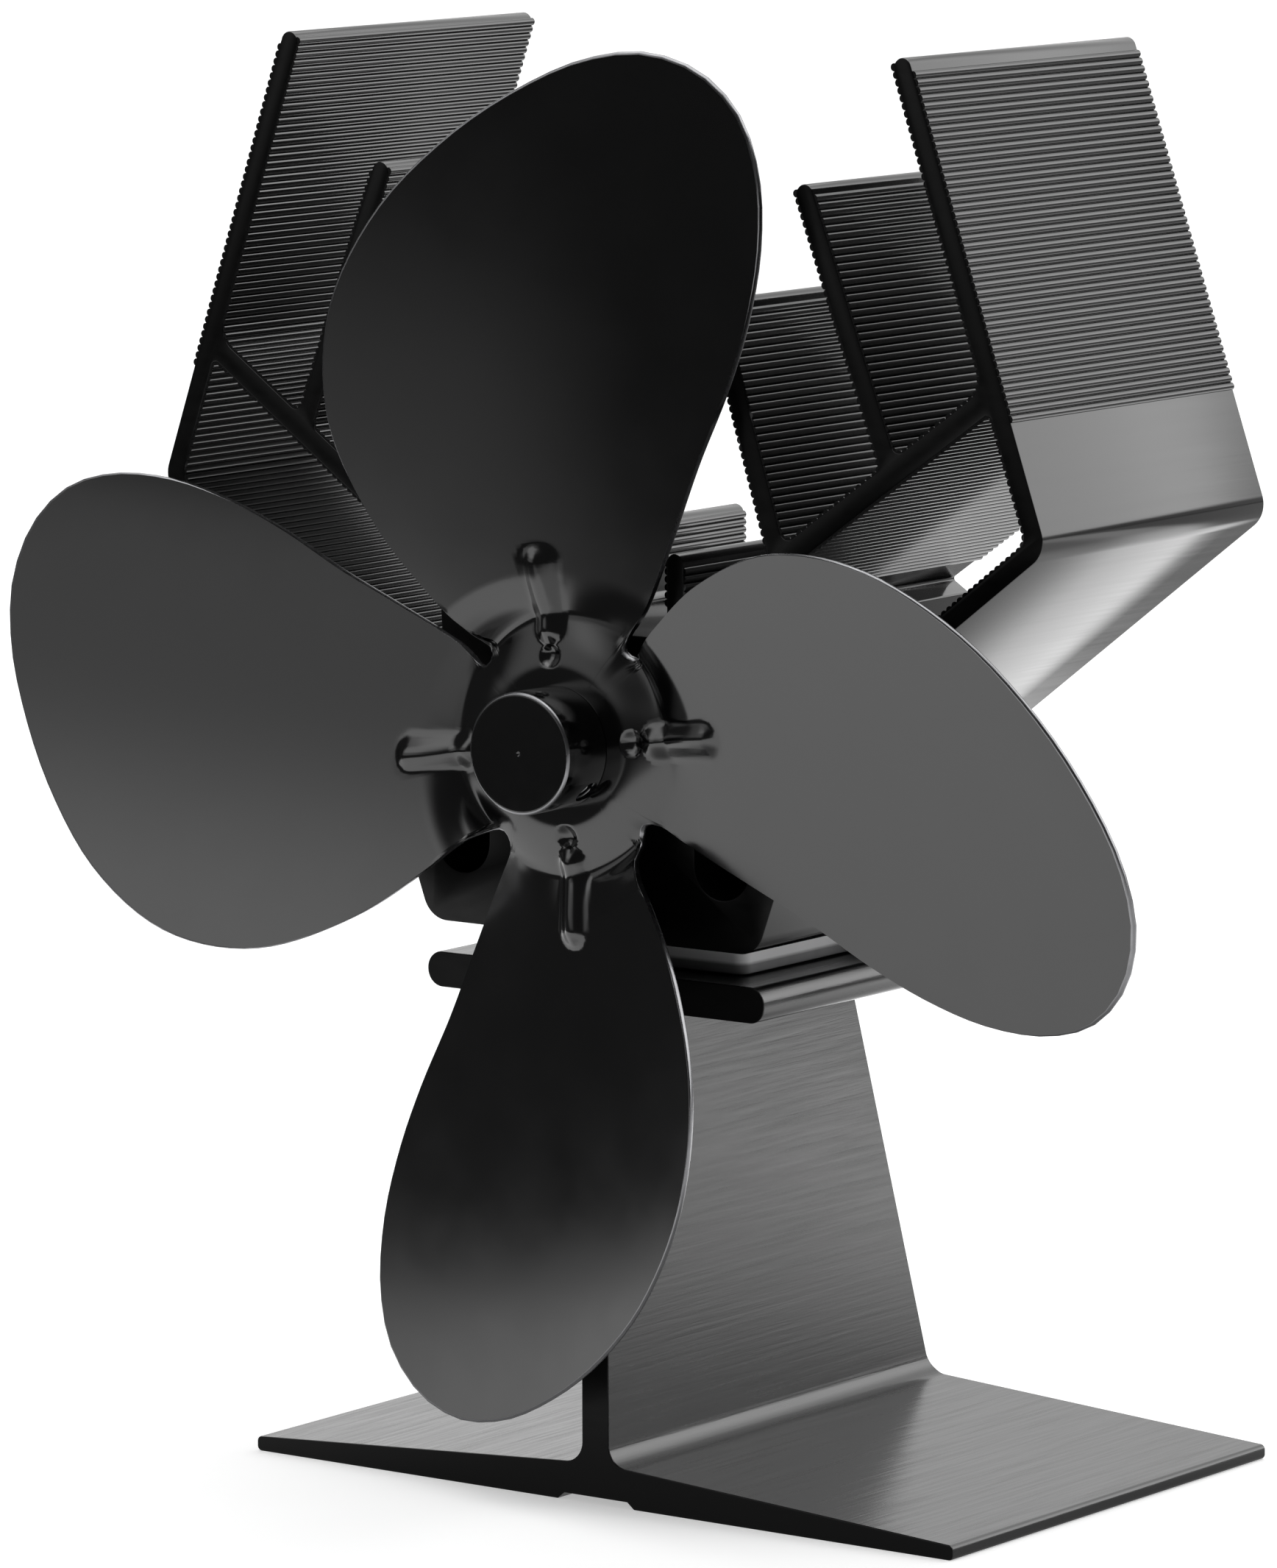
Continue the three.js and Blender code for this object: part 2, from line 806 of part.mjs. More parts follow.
function motorEndCap() {
  const bore = bushRadius + seatGap;
  const profile = [
    [bore, capFront],
    [canInner - seatGap, capFront],
    [canInner - seatGap, motorBack],
    [capBossRadius, motorBack],
    [capBossRadius, capBossBack],
    [bore, capBossBack],
    [bore, capFront],
  ];
  const slots = [-1, 1].map((side) => box(
    terminalThickness + 2 * seatGap,
    capPlate * 2 + capBossLength,
    terminalWidth + 2 * seatGap,
  ).translate(side * terminalSpread, motorBack, 0));
  return part('motor_end_cap', cut(turned(profile, motorSides), ...slots), nylon);
}

function terminal(name, side) {
  const tab = box(terminalThickness, terminalLength, terminalWidth)
    .translate(side * terminalSpread, capFront + terminalLength / 2, 0);
  return part(name, tab, brass);
}

// A brush is a carbon block on a leaf that reaches back to the end cap.
function brush(name, side) {
  const inner = commutatorRadius + seatGap;
  const front = motorFront + commutatorStart + commutatorLength / 2 - brushWidth / 2;
  const back = capFront - seatGap;
  const carbon = box(brushBlock, brushWidth, brushWidth)
    .translate(side * (inner + brushBlock / 2), front + brushWidth / 2, 0);
  const leaf = box(brushLeaf, back - front, brushWidth)
    .translate(side * (inner + brushBlock), (front + back) / 2, 0);
  return part(name, join(carbon, leaf), copper);
}

function motorShaft() {
  const end = capBossBack + shaftTail;
  const start = hubFront + hubNose + seatGap;
  const from = new THREE.Vector3(0, start, 0);
  const geometry = rod(shaftRadius, from, new THREE.Vector3(0, end, 0), drillSides);
  return part('motor_shaft', geometry, steel);
}

const coreFront = motorFront + armatureStart;
const poleAngle = (i) => 90 + (360 * i) / poleCount;

function armatureCore() {
  const hub = ring(shaftHole, coreHubRadius, coreFront, coreFront + armatureLength, smallSides);
  const shoeInner = armatureRadius - poleShoe;
  const poles = Array.from({ length: poleCount }, (_, i) => {
    const neckLength = shoeInner + poleShoe / 2 - (coreHubRadius + shaftHole) / 2;
    const neck = box(neckLength, armatureLength, poleNeck)
      .translate((coreHubRadius + shaftHole) / 2 + neckLength / 2, coreFront + armatureLength / 2, 0)
      .rotateY(-rad(poleAngle(i)));
    const shoe = arcPlate(shoeInner, armatureRadius, poleAngle(i), poleSweep, coreFront, armatureLength);
    return join(neck, shoe);
  });
  return part('armature_core', join(hub, ...poles), darkSteel);
}

// A coil is a square ring wound round a pole's neck, drawn along +X and turned to its pole.
function coil(name, i) {
  const inner = coreHubRadius + 2 * seatGap;
  const outer = Math.sqrt((armatureRadius - poleShoe) ** 2 - (coilWidth / 2) ** 2) - seatGap;
  const length = armatureLength + 2 * coilOverhang;
  const middle = coreFront + armatureLength / 2;
  const ringBlock = box(outer - inner, length, coilWidth);
  const hole = box(2 * outer, armatureLength + 2 * seatGap, poleNeck + 2 * seatGap);
  const geometry = cut(ringBlock, hole).translate((inner + outer) / 2, middle, 0);
  const mesh = part(name, geometry, copper);
  mesh.rotation.y = -rad(poleAngle(i));
  return mesh;
}

function commutator() {
  const start = motorFront + commutatorStart;
  const body = ring(shaftHole, commutatorRadius, start, start + commutatorLength, smallSides);
  const slits = Array.from({ length: poleCount }, (_, i) => (
    box(commutatorRadius, commutatorLength * 0.8, commutatorSlit)
      .translate(commutatorRadius + shaftRadius / 2, start + commutatorLength * 0.6, 0)
      .rotateY(-rad(poleAngle(i)))
  ));
  return part('commutator', cut(body, ...slits), copper);
}

// Leads: out of the module's frame, up through the heat sink and forward to the motor's tabs
function lead(name, side, material) {
  const x = side * leadSideOffset;
  const start = moduleCentreDepth + frameSize / 2 - frameWall / 2;
  const boreFloor = axisHeight - boreRadius;
  const end = new THREE.Vector3(
    side * terminalSpread,
    capFront + terminalLength + leadRadius + seatGap,
    axisHeight,
  );
  const rise = end.z - boreFloor;
  const reach = leadHoleDepth - end.y;
  const points = [
    new THREE.Vector3(x, start, leadHeight),
    new THREE.Vector3(x, leadHoleDepth - leadBend, leadHeight),
    new THREE.Vector3(x, leadHoleDepth - leadBend * 0.3, leadHeight + leadBend * 0.3),
    new THREE.Vector3(x, leadHoleDepth, leadHeight + leadBend),
    new THREE.Vector3(x, leadHoleDepth, boreFloor - leadBend),
    new THREE.Vector3(x, leadHoleDepth, boreFloor),
    ...leadTailShares.map(([spread, up, forward]) => new THREE.Vector3(
      side * spread * leadSideOffset,
      leadHoleDepth - forward * reach,
      boreFloor + up * rise,
    )),
    end,
  ];
  const path = new THREE.CatmullRomCurve3(points, false, 'centripetal');
  const section = new THREE.Shape(circle(0, 0, leadRadius, leadSides));
  const geometry = new THREE.ExtrudeGeometry(section, { steps: leadSteps, extrudePath: path });
  return part(name, geometry, material);
}

function motorParts() {
  const group = new THREE.Group();
  group.position.z = axisHeight;
  group.add(
    motorCan(),
    magnet('magnet_left', 180),
    magnet('magnet_right', 0),
    frontBush(),
    rearBush(),
    motorEndCap(),
    terminal('terminal_left', -1),
    terminal('terminal_right', 1),
    brush('brush_left', -1),
    brush('brush_right', 1),
  );
  return group;
}

// Blade sheet. Its front face is a height over the plane of the fan: a raised flat middle, a
// step down to the blades, and each blade's pitch, which fades out towards the middle.
const quarter = 360 / bladeCount;

function sheetFront(x, z) {
  const radius = Math.hypot(x, z);
  const turn = THREE.MathUtils.radToDeg(Math.atan2(z, x));
  const blade = Math.round((turn - beadTurn) / quarter) * quarter;
  const along = x * Math.cos(rad(blade)) + z * Math.sin(rad(blade));
  const across = -x * Math.sin(rad(blade)) + z * Math.cos(rad(blade));
  const pitch = THREE.MathUtils.lerp(pitchRoot, pitchTip, along / tipRadius);
  const middle = radius * Math.sin(rad(4 * (turn - blade))) / 4;
  const apart = THREE.MathUtils.smoothstep(radius, notchRadius, notchRadius + notchEdge);
  const side = THREE.MathUtils.lerp(middle, across, apart);
  const twist = THREE.MathUtils.smoothstep(radius, flatRadius, twistEnd);
  const leaning = hubFront + bladePlane - along * Math.tan(rad(bladeLean));
  const step = THREE.MathUtils.smoothstep(radius, flatRadius, stepRadius);
  return THREE.MathUtils.lerp(hubBack, leaning, step)
    - twist * (side * Math.tan(rad(pitch)) + side ** 2 / (2 * camberRadius));
}

function sheetOutline() {
  const points = [];
  for (let i = 0; i < bladeCount; i += 1) {
    const turn = rad(quarter * i);
    bladeOutlineShares.forEach(([along, across]) => {
      const x = tipRadius * (along * Math.cos(turn) - across * Math.sin(turn));
      const z = tipRadius * (along * Math.sin(turn) + across * Math.cos(turn));
      points.push(new THREE.Vector3(x, 0, z));
    });
  }
  const curve = new THREE.CatmullRomCurve3(points, true, 'centripetal');
  return curve.getPoints(outlineSteps).slice(0, outlineSteps);
}

// Rings of points run from the centre hole out to the blades' edges, on both faces.
function sheetBlank() {
  const edge = sheetOutline();
  const hole = spigotRadius + seatGap;
  const positions = [];
  const index = [];
  const face = (sheetRings + 1) * outlineSteps;
  const add = (thickness) => {
    for (let j = 0; j <= sheetRings; j += 1) {
      edge.forEach((rim) => {
        const share = ((j - 1) / (sheetRings - 1)) ** ringGrading;
        const radius = j === 0 ? hole : THREE.MathUtils.lerp(flatRadius, rim.length(), share);
        const point = rim.clone().setLength(radius);
        positions.push(point.x, sheetFront(point.x, point.z) + thickness, point.z);
      });
    }
  };
  add(0);
  add(sheetThickness);
  const apart = (a, b) => Math.hypot(...[0, 1, 2].map((i) => (
    positions[3 * a + i] - positions[3 * b + i]
  )));
  const quad = (a, b, c, d) => {
    if (apart(a, c) <= apart(b, d)) index.push(a, b, c, a, c, d);
    else index.push(a, b, d, b, c, d);
  };
  for (let i = 0; i < outlineSteps; i += 1) {
    const next = (i + 1) % outlineSteps;
    for (let j = 0; j < sheetRings; j += 1) {
      const low = j * outlineSteps;
      const high = low + outlineSteps;
      quad(low + i, high + i, high + next, low + next);
      quad(face + low + i, face + low + next, face + high + next, face + high + i);
    }
    const rim = sheetRings * outlineSteps;
    quad(rim + i, face + rim + i, face + rim + next, rim + next);
    quad(i, next, face + next, face + i);
  }
  const geometry = new THREE.BufferGeometry();
  geometry.setAttribute('position', new THREE.Float32BufferAttribute(positions, 3));
  geometry.setIndex(index);
  return geometry;
}

// A bead pressed forward out of each blade, hollow behind. Both of its faces are one rounded form.
function beadForms(i) {
  const turn = rad(quarter * i + beadTurn);
  const foot = (radius) => {
    const point = new THREE.Vector3(radius * Math.cos(turn), 0, radius * Math.sin(turn));
    point.y = sheetFront(point.x, point.z) + sheetThickness;
    return point;
  };
  const start = foot(beadStart);
  const along = foot(beadEnd).sub(start);
  const way = along.clone().normalize();
  const sideways = new THREE.Vector3(0, 1, 0).cross(way).normalize();
  const forward = sideways.clone().cross(way).normalize();
  const frame = new THREE.Matrix4().makeBasis(sideways, way, forward);
  const place = (geometry, sunk) => geometry
    .applyMatrix4(frame)
    .translate(start.x, start.y, start.z)
    .translate(...along.clone().multiplyScalar(1 / 2).addScaledVector(forward, -sunk).toArray());
  const capsule = new THREE.CapsuleGeometry(beadHalfWidth, along.length(), 4, 12)
    .scale(1, 1, (beadHeight + sheetThickness) / beadHalfWidth);
  const behind = box(tipRadius, tipRadius, tipRadius).translate(0, 0, -tipRadius / 2);
  return {
    raised: place(cut(capsule, behind), 0),
    hollow: place(capsule.clone(), sheetThickness),
  };
}

function dimple(i) {
  const turn = rad(quarter * i + beadTurn);
  return new THREE.SphereGeometry(dimpleRadius, 12, 8).translate(
    dimplePlace * Math.cos(turn),
    hubBack - dimpleRadius + dimpleDepth,
    dimplePlace * Math.sin(turn),
  );
}

function fanBlades() {
  const copies = Array.from({ length: bladeCount }, (_, i) => i);
  const beads = copies.map(beadForms);
  const sheet = join(sheetBlank(), ...beads.map(({ raised }) => raised));
  const hollows = beads.map(({ hollow }) => hollow);
  return part('fan_blades', cut(sheet, ...hollows, ...copies.map(dimple)), blackSatin);
}

function hub() {
  const profile = [
    [0, hubFront],
    [hubRadius - hubBevel, hubFront],
    [hubRadius, hubFront + hubBevel],
    [hubRadius, hubBack],
    [spigotRadius, hubBack],
    [spigotRadius, spigotBack],
    [shaftHole, spigotBack],
    [shaftHole, hubFront + hubNose],
    [0, hubFront + hubNose],
  ];
  const way = grubWay();
  const middle = new THREE.Vector3(0, hubFront + grubSetback, 0);
  const hole = rod(
    grubRadius + seatGap,
    middle,
    middle.clone().addScaledVector(way, hubRadius + cutOverrun),
    drillSides,
  );
  return part('hub', cut(turned(profile, motorSides), hole), blackTurned);
}

// The direction of the grub screw in the rotor's own frame
function grubWay() {
  const turn = rad(grubAngle - rotorTurn);
  return new THREE.Vector3(Math.cos(turn), 0, Math.sin(turn));
}

function grubScrew() {
  const body = new THREE.CylinderGeometry(grubRadius, grubRadius, grubLength, drillSides);
  const socket = new THREE.CylinderGeometry(grubSocket, grubSocket, 2 * grubSocketDepth, 6)
    .translate(0, grubLength / 2, 0);
  const mesh = part('grub_screw', cut(body, socket), darkSteel);
  mesh.quaternion.setFromUnitVectors(new THREE.Vector3(0, 1, 0), grubWay());
  mesh.position.set(0, hubFront + grubSetback, 0)
    .addScaledVector(grubWay(), shaftHole + grubLength / 2);
  return mesh;
}

function retainingRing() {
  const geometry = ring(spigotRadius + seatGap, ringRadius, sheetBack, ringBack, motorSides);
  return part('retaining_ring', geometry, darkSteel);
}

function rotor() {
  const group = new THREE.Group();
  group.position.z = axisHeight;
  group.rotation.y = -rad(rotorTurn);
  const coils = Array.from({ length: poleCount }, (_, i) => coil(`armature_coil_${i + 1}`, i));
  group.add(
    motorShaft(),
    armatureCore(),
    ...coils,
    commutator(),
    hub(),
    fanBlades(),
    grubScrew(),
    retainingRing(),
  );
  return group;
}

const stoveFan = new THREE.Group();
stoveFan.add(
  baseStand(),
  bimetalStrip(),
  stripScrew(),
  generatorStack(),
  clampSet(clampPlaces[0], 'left'),
  clampSet(clampPlaces[1], 'right'),
  heatSink(),
  motorSetScrew(),
  motorParts(),
  lead('lead_red', 1, redSleeve),
  lead('lead_black', -1, blackSleeve),
  rotor(),
);

// The origin goes under the middle of the whole object, on the surface that it stands on.
const bounds = new THREE.Box3().setFromObject(stoveFan, true);
stoveFan.position.y = -(bounds.min.y + bounds.max.y) / 2;

export default stoveFan;
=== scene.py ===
import contextlib
import json
import math
import bmesh
import bpy
import numpy as np
from mathutils import Matrix, Vector


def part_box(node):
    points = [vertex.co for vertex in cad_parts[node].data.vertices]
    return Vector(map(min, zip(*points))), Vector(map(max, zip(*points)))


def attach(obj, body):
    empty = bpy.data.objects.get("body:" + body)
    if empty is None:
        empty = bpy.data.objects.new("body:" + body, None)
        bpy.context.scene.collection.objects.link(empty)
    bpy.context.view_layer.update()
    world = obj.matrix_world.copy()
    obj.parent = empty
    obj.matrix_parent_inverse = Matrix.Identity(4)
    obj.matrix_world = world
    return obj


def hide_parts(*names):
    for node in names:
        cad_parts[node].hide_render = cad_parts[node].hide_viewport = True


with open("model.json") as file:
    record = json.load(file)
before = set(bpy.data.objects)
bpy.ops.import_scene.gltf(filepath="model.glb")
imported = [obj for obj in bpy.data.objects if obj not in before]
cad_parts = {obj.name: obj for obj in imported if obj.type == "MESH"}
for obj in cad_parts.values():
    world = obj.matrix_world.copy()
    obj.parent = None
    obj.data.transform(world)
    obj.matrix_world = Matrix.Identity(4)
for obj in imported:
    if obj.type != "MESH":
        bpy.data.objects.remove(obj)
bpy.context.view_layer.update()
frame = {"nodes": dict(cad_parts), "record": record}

scene = bpy.context.scene
scene.view_settings.view_transform = "Standard"
mm = 0.001


# Places that the pieces share, in millimetres. The hub's y is counted from the front edge of the foot.
sinkLow = np.array(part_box("heat_sink")[0]) / mm
standLow = np.array(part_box("base_stand")[0]) / mm
hubLow = np.array(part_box("hub")[0]) / mm
hubHigh = np.array(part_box("hub")[1]) / mm
frontY = float(standLow[1])
axisZ = float(hubLow[2] + hubHigh[2]) / 2
hubRadius = float(hubHigh[0] - hubLow[0]) / 2
hubFront = float(hubLow[1]) - frontY
hubLength = 8.4
hubBack = hubFront + hubLength


# Small helpers
def meshObject(name, vertices, faces):
    mesh = bpy.data.meshes.new(name)
    mesh.from_pydata([tuple(v) for v in vertices], [], [tuple(f) for f in faces])
    mesh.validate()
    mesh.update()
    item = bpy.data.objects.new(name, mesh)
    scene.collection.objects.link(item)
    return item


def bakeModifiers(item):
    depsgraph = bpy.context.evaluated_depsgraph_get()
    depsgraph.update()
    made = bpy.data.meshes.new_from_object(item.evaluated_get(depsgraph), depsgraph=depsgraph)
    old = item.data
    item.modifiers.clear()
    item.data = made
    made.name = item.name
    if old.users == 0:
        bpy.data.meshes.remove(old)
    return item


@contextlib.contextmanager
def meshEdit(mesh):
    edit = bmesh.new()
    edit.from_mesh(mesh)
    yield edit
    edit.to_mesh(mesh)
    edit.free()


def setAutoSmooth(item, degrees):
    # edges sharper than the angle stay crisp
    with meshEdit(item.data) as edit:
        for edge in edit.edges:
            edge.smooth = len(edge.link_faces) == 2 and edge.calc_face_angle(0) < math.radians(degrees)
        for face in edit.faces:
            face.smooth = True


def roundedOutline(corners, step=7):
    # corners are (x, z, radius), and each is rounded by an arc
    points = []
    count = len(corners)
    for i, (x, z, radius) in enumerate(corners):
        here = Vector((x, z))
        if radius == 0:
            points.append(here)
            continue
        back = (Vector(corners[i - 1][:2]) - here).normalized()
        onward = (Vector(corners[(i + 1) % count][:2]) - here).normalized()
        half = math.acos(max(-1, min(1, back.dot(onward)))) / 2
        reach = radius / math.tan(half)
        centre = here + (back + onward).normalized() * (radius / math.sin(half))
        first = here + back * reach - centre
        last = here + onward * reach - centre
        sweep = math.atan2(first.x * last.y - first.y * last.x, first.dot(last))
        steps = max(3, math.ceil(abs(sweep) / math.radians(step)))
        for j in range(steps + 1):
            turn = sweep * j / steps
            spun = Vector((
                first.x * math.cos(turn) - first.y * math.sin(turn),
                first.x * math.sin(turn) + first.y * math.cos(turn),
            ))
            points.append(centre + spun)
    kept = [p for i, p in enumerate(points) if (p - points[i - 1]).length > 1e-4]
    return [(p.x, p.y) for p in kept]


def roundedPath(corners):
    # an open path of (x, z, radius) is closed far above, rounded, and freed from the closing again
    far = 500
    ends = [(corners[-1][0], corners[-1][1] + far, 0), (corners[0][0], corners[0][1] + far, 0)]
    sharp = (0, len(corners) - 1)
    closed = [(x, z, 0 if i in sharp else radius) for i, (x, z, radius) in enumerate([*corners, *ends])]
    return [point for point in roundedOutline(closed) if point[1] < far * 0.7]


def bevelledExtrusion(name, outline, holes, start, end, bevel):
    # an outline in x and z, with holes, carried from y = start to y = end, its cut edges broken
    flat = math.radians(0.4)
    sharp = math.radians(60)
    mesh = bpy.data.meshes.new(name)
    with meshEdit(mesh) as edit:
        edges = []
        for points in [outline, *holes]:
            verts = [edit.verts.new((x * mm, start * mm, z * mm)) for x, z in points]
            edges.extend(edit.edges.new((verts[i - 1], verts[i])) for i in range(len(verts)))
        filled = bmesh.ops.triangle_fill(edit, edges=edges, use_beauty=True, normal=(0, -1, 0))
        faces = [face for face in filled["geom"] if isinstance(face, bmesh.types.BMFace)]
        grown = bmesh.ops.extrude_face_region(edit, geom=faces + edges, use_keep_orig=True)
        moved = [vert for vert in grown["geom"] if isinstance(vert, bmesh.types.BMVert)]
        bmesh.ops.translate(edit, verts=moved, vec=(0, (end - start) * mm, 0))
        bmesh.ops.recalc_face_normals(edit, faces=edit.faces[:])
        bmesh.ops.dissolve_limit(
            edit, angle_limit=flat, verts=edit.verts[:], edges=edit.edges[:],
            use_dissolve_boundaries=False, delimit=set(),
        )
        rims = [
            edge for edge in edit.edges
            if len(edge.link_faces) == 2 and abs(edge.verts[0].co.y - edge.verts[1].co.y) < 1e-7
            and edge.calc_face_angle(0) > sharp
        ]
        bmesh.ops.bevel(
            edit, geom=rims, offset=bevel * mm, offset_type="OFFSET", segments=2, profile=0.5,
            affect="EDGES", clamp_overlap=False,
        )
    item = bpy.data.objects.new(name, mesh)
    scene.collection.objects.link(item)
    return item


def turned(name, profile, sides):
    # a closed profile of (radius, y) in millimetres, turned about the fan's axis
    vertices = []
    faces = []
    count = len(profile)
    for i in range(sides):
        turn = 2 * math.pi * i / sides
        for radius, y in profile:
            across = radius * math.cos(turn)
            height = axisZ + radius * math.sin(turn)
            vertices.append((across * mm, (frontY + y) * mm, height * mm))
    for i in range(sides):
        low = i * count
        high = (i + 1) % sides * count
        for j in range(count):
            k = (j + 1) % count
            faces.append((low + j, low + k, high + k, high + j))
    item = meshObject(name, vertices, faces)
    with meshEdit(item.data) as edit:
        bmesh.ops.remove_doubles(edit, verts=edit.verts[:], dist=1e-7)
        bmesh.ops.dissolve_degenerate(edit, edges=edit.edges[:], dist=1e-8)
        bmesh.ops.recalc_face_normals(edit, faces=edit.faces[:])
    return item


# Straight lines in the profile: a point, and the direction as an angle in degrees
def lineAt(x, z, angle):
    return (x, z, math.cos(math.radians(angle)), math.sin(math.radians(angle)))


def shifted(line, distance):
    x, z, dx, dz = line
    return (x - distance * dz, z + distance * dx, dx, dz)


def crossing(a, b, radius=0):
    scale = a[2] * b[3] - a[3] * b[2]
    along = ((b[0] - a[0]) * b[3] - (b[1] - a[1]) * b[2]) / scale
    return (a[0] + along * a[2], a[1] + along * a[3], radius)


def mirrored(corners):
    return [(-x, z, radius) for x, z, radius in reversed(corners)]


# Short ways to fill a node tree: a value is a number, a tuple or another node's output
grainMiddle = (0.3, 0.7)


class Nodes:
    def __init__(self, tree):
        self.tree = tree

    def put(self, value, socket):
        if isinstance(value, bpy.types.NodeSocket):
            self.tree.links.new(value, socket)
        else:
            socket.default_value = value

    def add(self, kind, values, **settings):
        # values go to sockets, by name or number
        made = self.tree.nodes.new(kind)
        for key, value in settings.items():
            setattr(made, key, value)
        for key, value in values.items():
            self.put(value, made.inputs[key])
        return made.outputs

    def sum(self, operation, *values):
        return self.add("ShaderNodeMath", dict(enumerate(values)), operation=operation)[0]

    def ramp(self, value, start, end, low=0.0, high=1.0, kind="SMOOTHSTEP"):
        values = {"Value": value, "From Min": start, "From Max": end, "To Min": low, "To Max": high}
        return self.add("ShaderNodeMapRange", values, interpolation_type=kind)[0]

    def blend(self, share, first, second):
        return self.sum("ADD", first, self.sum("MULTIPLY", share, self.sum("SUBTRACT", second, first)))

    def blendColors(self, share, first, second):
        # on a mix of colours, inputs 6 and 7 are the colours, and output 2 is the result
        values = {0: share, 6: (*first, 1), 7: (*second, 1)}
        return self.add("ShaderNodeMix", values, data_type="RGBA")[2]

    def coordinates(self, kind):
        return self.add("ShaderNodeTexCoord", {})[kind]

    def parts(self, vector):
        return self.add("ShaderNodeSeparateXYZ", {0: vector})

    def apart(self, place, point):
        return self.add("ShaderNodeVectorMath", {0: place, 1: point}, operation="DISTANCE")["Value"]

    def grain(self, scale, detail=4, stretch=(1, 1, 1), rough=0.5):
        # noise on the object's own coordinates, drawn out by stretch
        values = {"Vector": self.coordinates("Object"), "Scale": stretch}
        place = self.add("ShaderNodeMapping", values)["Vector"]
        values = {"Vector": place, "Scale": scale, "Detail": detail, "Roughness": rough}
        return self.add("ShaderNodeTexNoise", values)["Fac"]

    def spread(self, grain, low, high):
        # maps the middle of a noise onto low to high
        return self.ramp(grain, *grainMiddle, low, high, "LINEAR")

    def bump(self, height, strength, distance):
        values = {"Height": height, "Strength": strength, "Distance": distance}
        return self.add("ShaderNodeBump", values)["Normal"]


# Materials
def newMaterial(name, color, metallic=0.0, roughness=0.5, ior=1.5):
    # also gives its nodes and its shader's sockets
    material = bpy.data.materials.new(name)
    material.use_nodes = True
    material.diffuse_color = (*color, 1)
    shader = material.node_tree.nodes["Principled BSDF"].inputs
    shader["Base Color"].default_value = (*color, 1)
    shader["Metallic"].default_value = metallic
    shader["Roughness"].default_value = roughness
    shader["IOR"].default_value = ior
    return material, Nodes(material.node_tree), shader


def makeFinish(name, values):
    # the roughness, the worn tone and the relief each follow one of the finish's grains
    material, nodes, shader = newMaterial(
        name, values["color"], values.get("metallic", 0.0), values["middle"], values.get("ior", 1.5),
    )
    grains = {key: nodes.grain(*settings) for key, settings in values["grains"].items()}
    if "roughness" in values:
        key, low, high = values["roughness"]
        nodes.put(nodes.spread(grains[key], low, high), shader["Roughness"])
    if "worn" in values:
        key, worn = values["worn"]
        nodes.put(nodes.blendColors(grains[key], values["color"], worn), shader["Base Color"])
    key, strength, distance = values["relief"]
    nodes.put(nodes.bump(grains[key], strength, distance), shader["Normal"])
    return material


# The black finishes mirror more than plain paint does. A grain is its scale, detail, stretch and
# roughness, and a stretch below 1 draws it out along that axis.
blackIor = 1.92
blackFinishes = {
    # drawn extrusion: faint lines run along Y
    "blackAnodised": {
        "color": (0.001, 0.001, 0.0011), "worn": ("specks", (0.0024, 0.0024, 0.0026)),
        "middle": 0.15, "roughness": ("lines", 0.11, 0.17), "ior": blackIor,
        "grains": {"lines": (900, 3, (1, 0.02, 1), 0.6), "specks": (2600, 2)},
        "relief": ("lines", 0.08, 0.00006),
    },
    # the stand: the same finish with longer, stronger drawing lines
    "blackBrushed": {
        "color": (0.0016, 0.0016, 0.0018), "worn": ("broad", (0.004, 0.004, 0.0043)),
        "middle": 0.2, "roughness": ("lines", 0.14, 0.3), "ior": blackIor,
        "grains": {"lines": (1300, 4, (1, 0.035, 1), 0.6), "broad": (60, 3, (1, 0.12, 1))},
        "relief": ("lines", 0.42, 0.00008),
    },
    # the cut faces of the extrusions are duller than their drawn faces
    "blackSawn": {
        "color": (0.0014, 0.0014, 0.0015), "middle": 0.36,
        "roughness": ("lines", 0.3, 0.42), "ior": 1.35,
        "grains": {"lines": (800, 4, (0.3, 1, 1), 0.6)}, "relief": ("lines", 0.06, 0.00004),
    },
    # smooth dark coat on the stamped sheet
    "satinBlack": {
        "color": (0.0018, 0.0018, 0.002), "middle": 0.15,
        "roughness": ("clouds", 0.13, 0.17), "ior": blackIor,
        "grains": {"clouds": (90, 4), "fine": (3000, 2)}, "relief": ("fine", 0.04, 0.00002),
    },
    # painted highlight: the punched rim of the sheet, and the hub's front bevel, get a bright grey metal
    # in place of the black coat, so that they shine more than the faces, as bright lines
    "rimHighlight": {
        "color": (0.38, 0.38, 0.39), "worn": ("clouds", (0.28, 0.28, 0.29)), "metallic": 1.0,
        "middle": 0.3, "roughness": ("clouds", 0.22, 0.3),
        "grains": {"clouds": (700, 4)}, "relief": ("clouds", 0.05, 0.00002),
    },
    "turnedBlack": {
        "color": (0.0015, 0.0015, 0.0016), "middle": 0.12, "roughness": ("clouds", 0.1, 0.15),
        "ior": blackIor, "grains": {"clouds": (700, 3)}, "relief": ("clouds", 0.03, 0.00002),
    },
}


def plainFinish(name, color, roughness, values):
    made = {
        "color": color, "worn": ("clouds", tuple(value * values["worn"] for value in color)),
        "metallic": values["metallic"], "middle": roughness,
        "grains": {"clouds": values["clouds"]}, "relief": ("clouds", *values["relief"]),
    }
    if "variation" in values:
        ends = [roughness * (1 + side * values["variation"]) for side in (-1, 1)]
        made["roughness"] = ("clouds", *ends)
    return makeFinish(name, made)


def plainMetal(name, color, roughness):
    return plainFinish(name, color, roughness, {
        "clouds": (900, 4), "variation": 0.25, "worn": 0.82, "metallic": 1.0, "relief": (0.05, 0.00002),
    })


def dullSolid(name, color, roughness):
    return plainFinish(name, color, roughness, {
        "clouds": (1200, 5), "worn": 0.8, "metallic": 0.0, "relief": (0.15, 0.00005),
    })


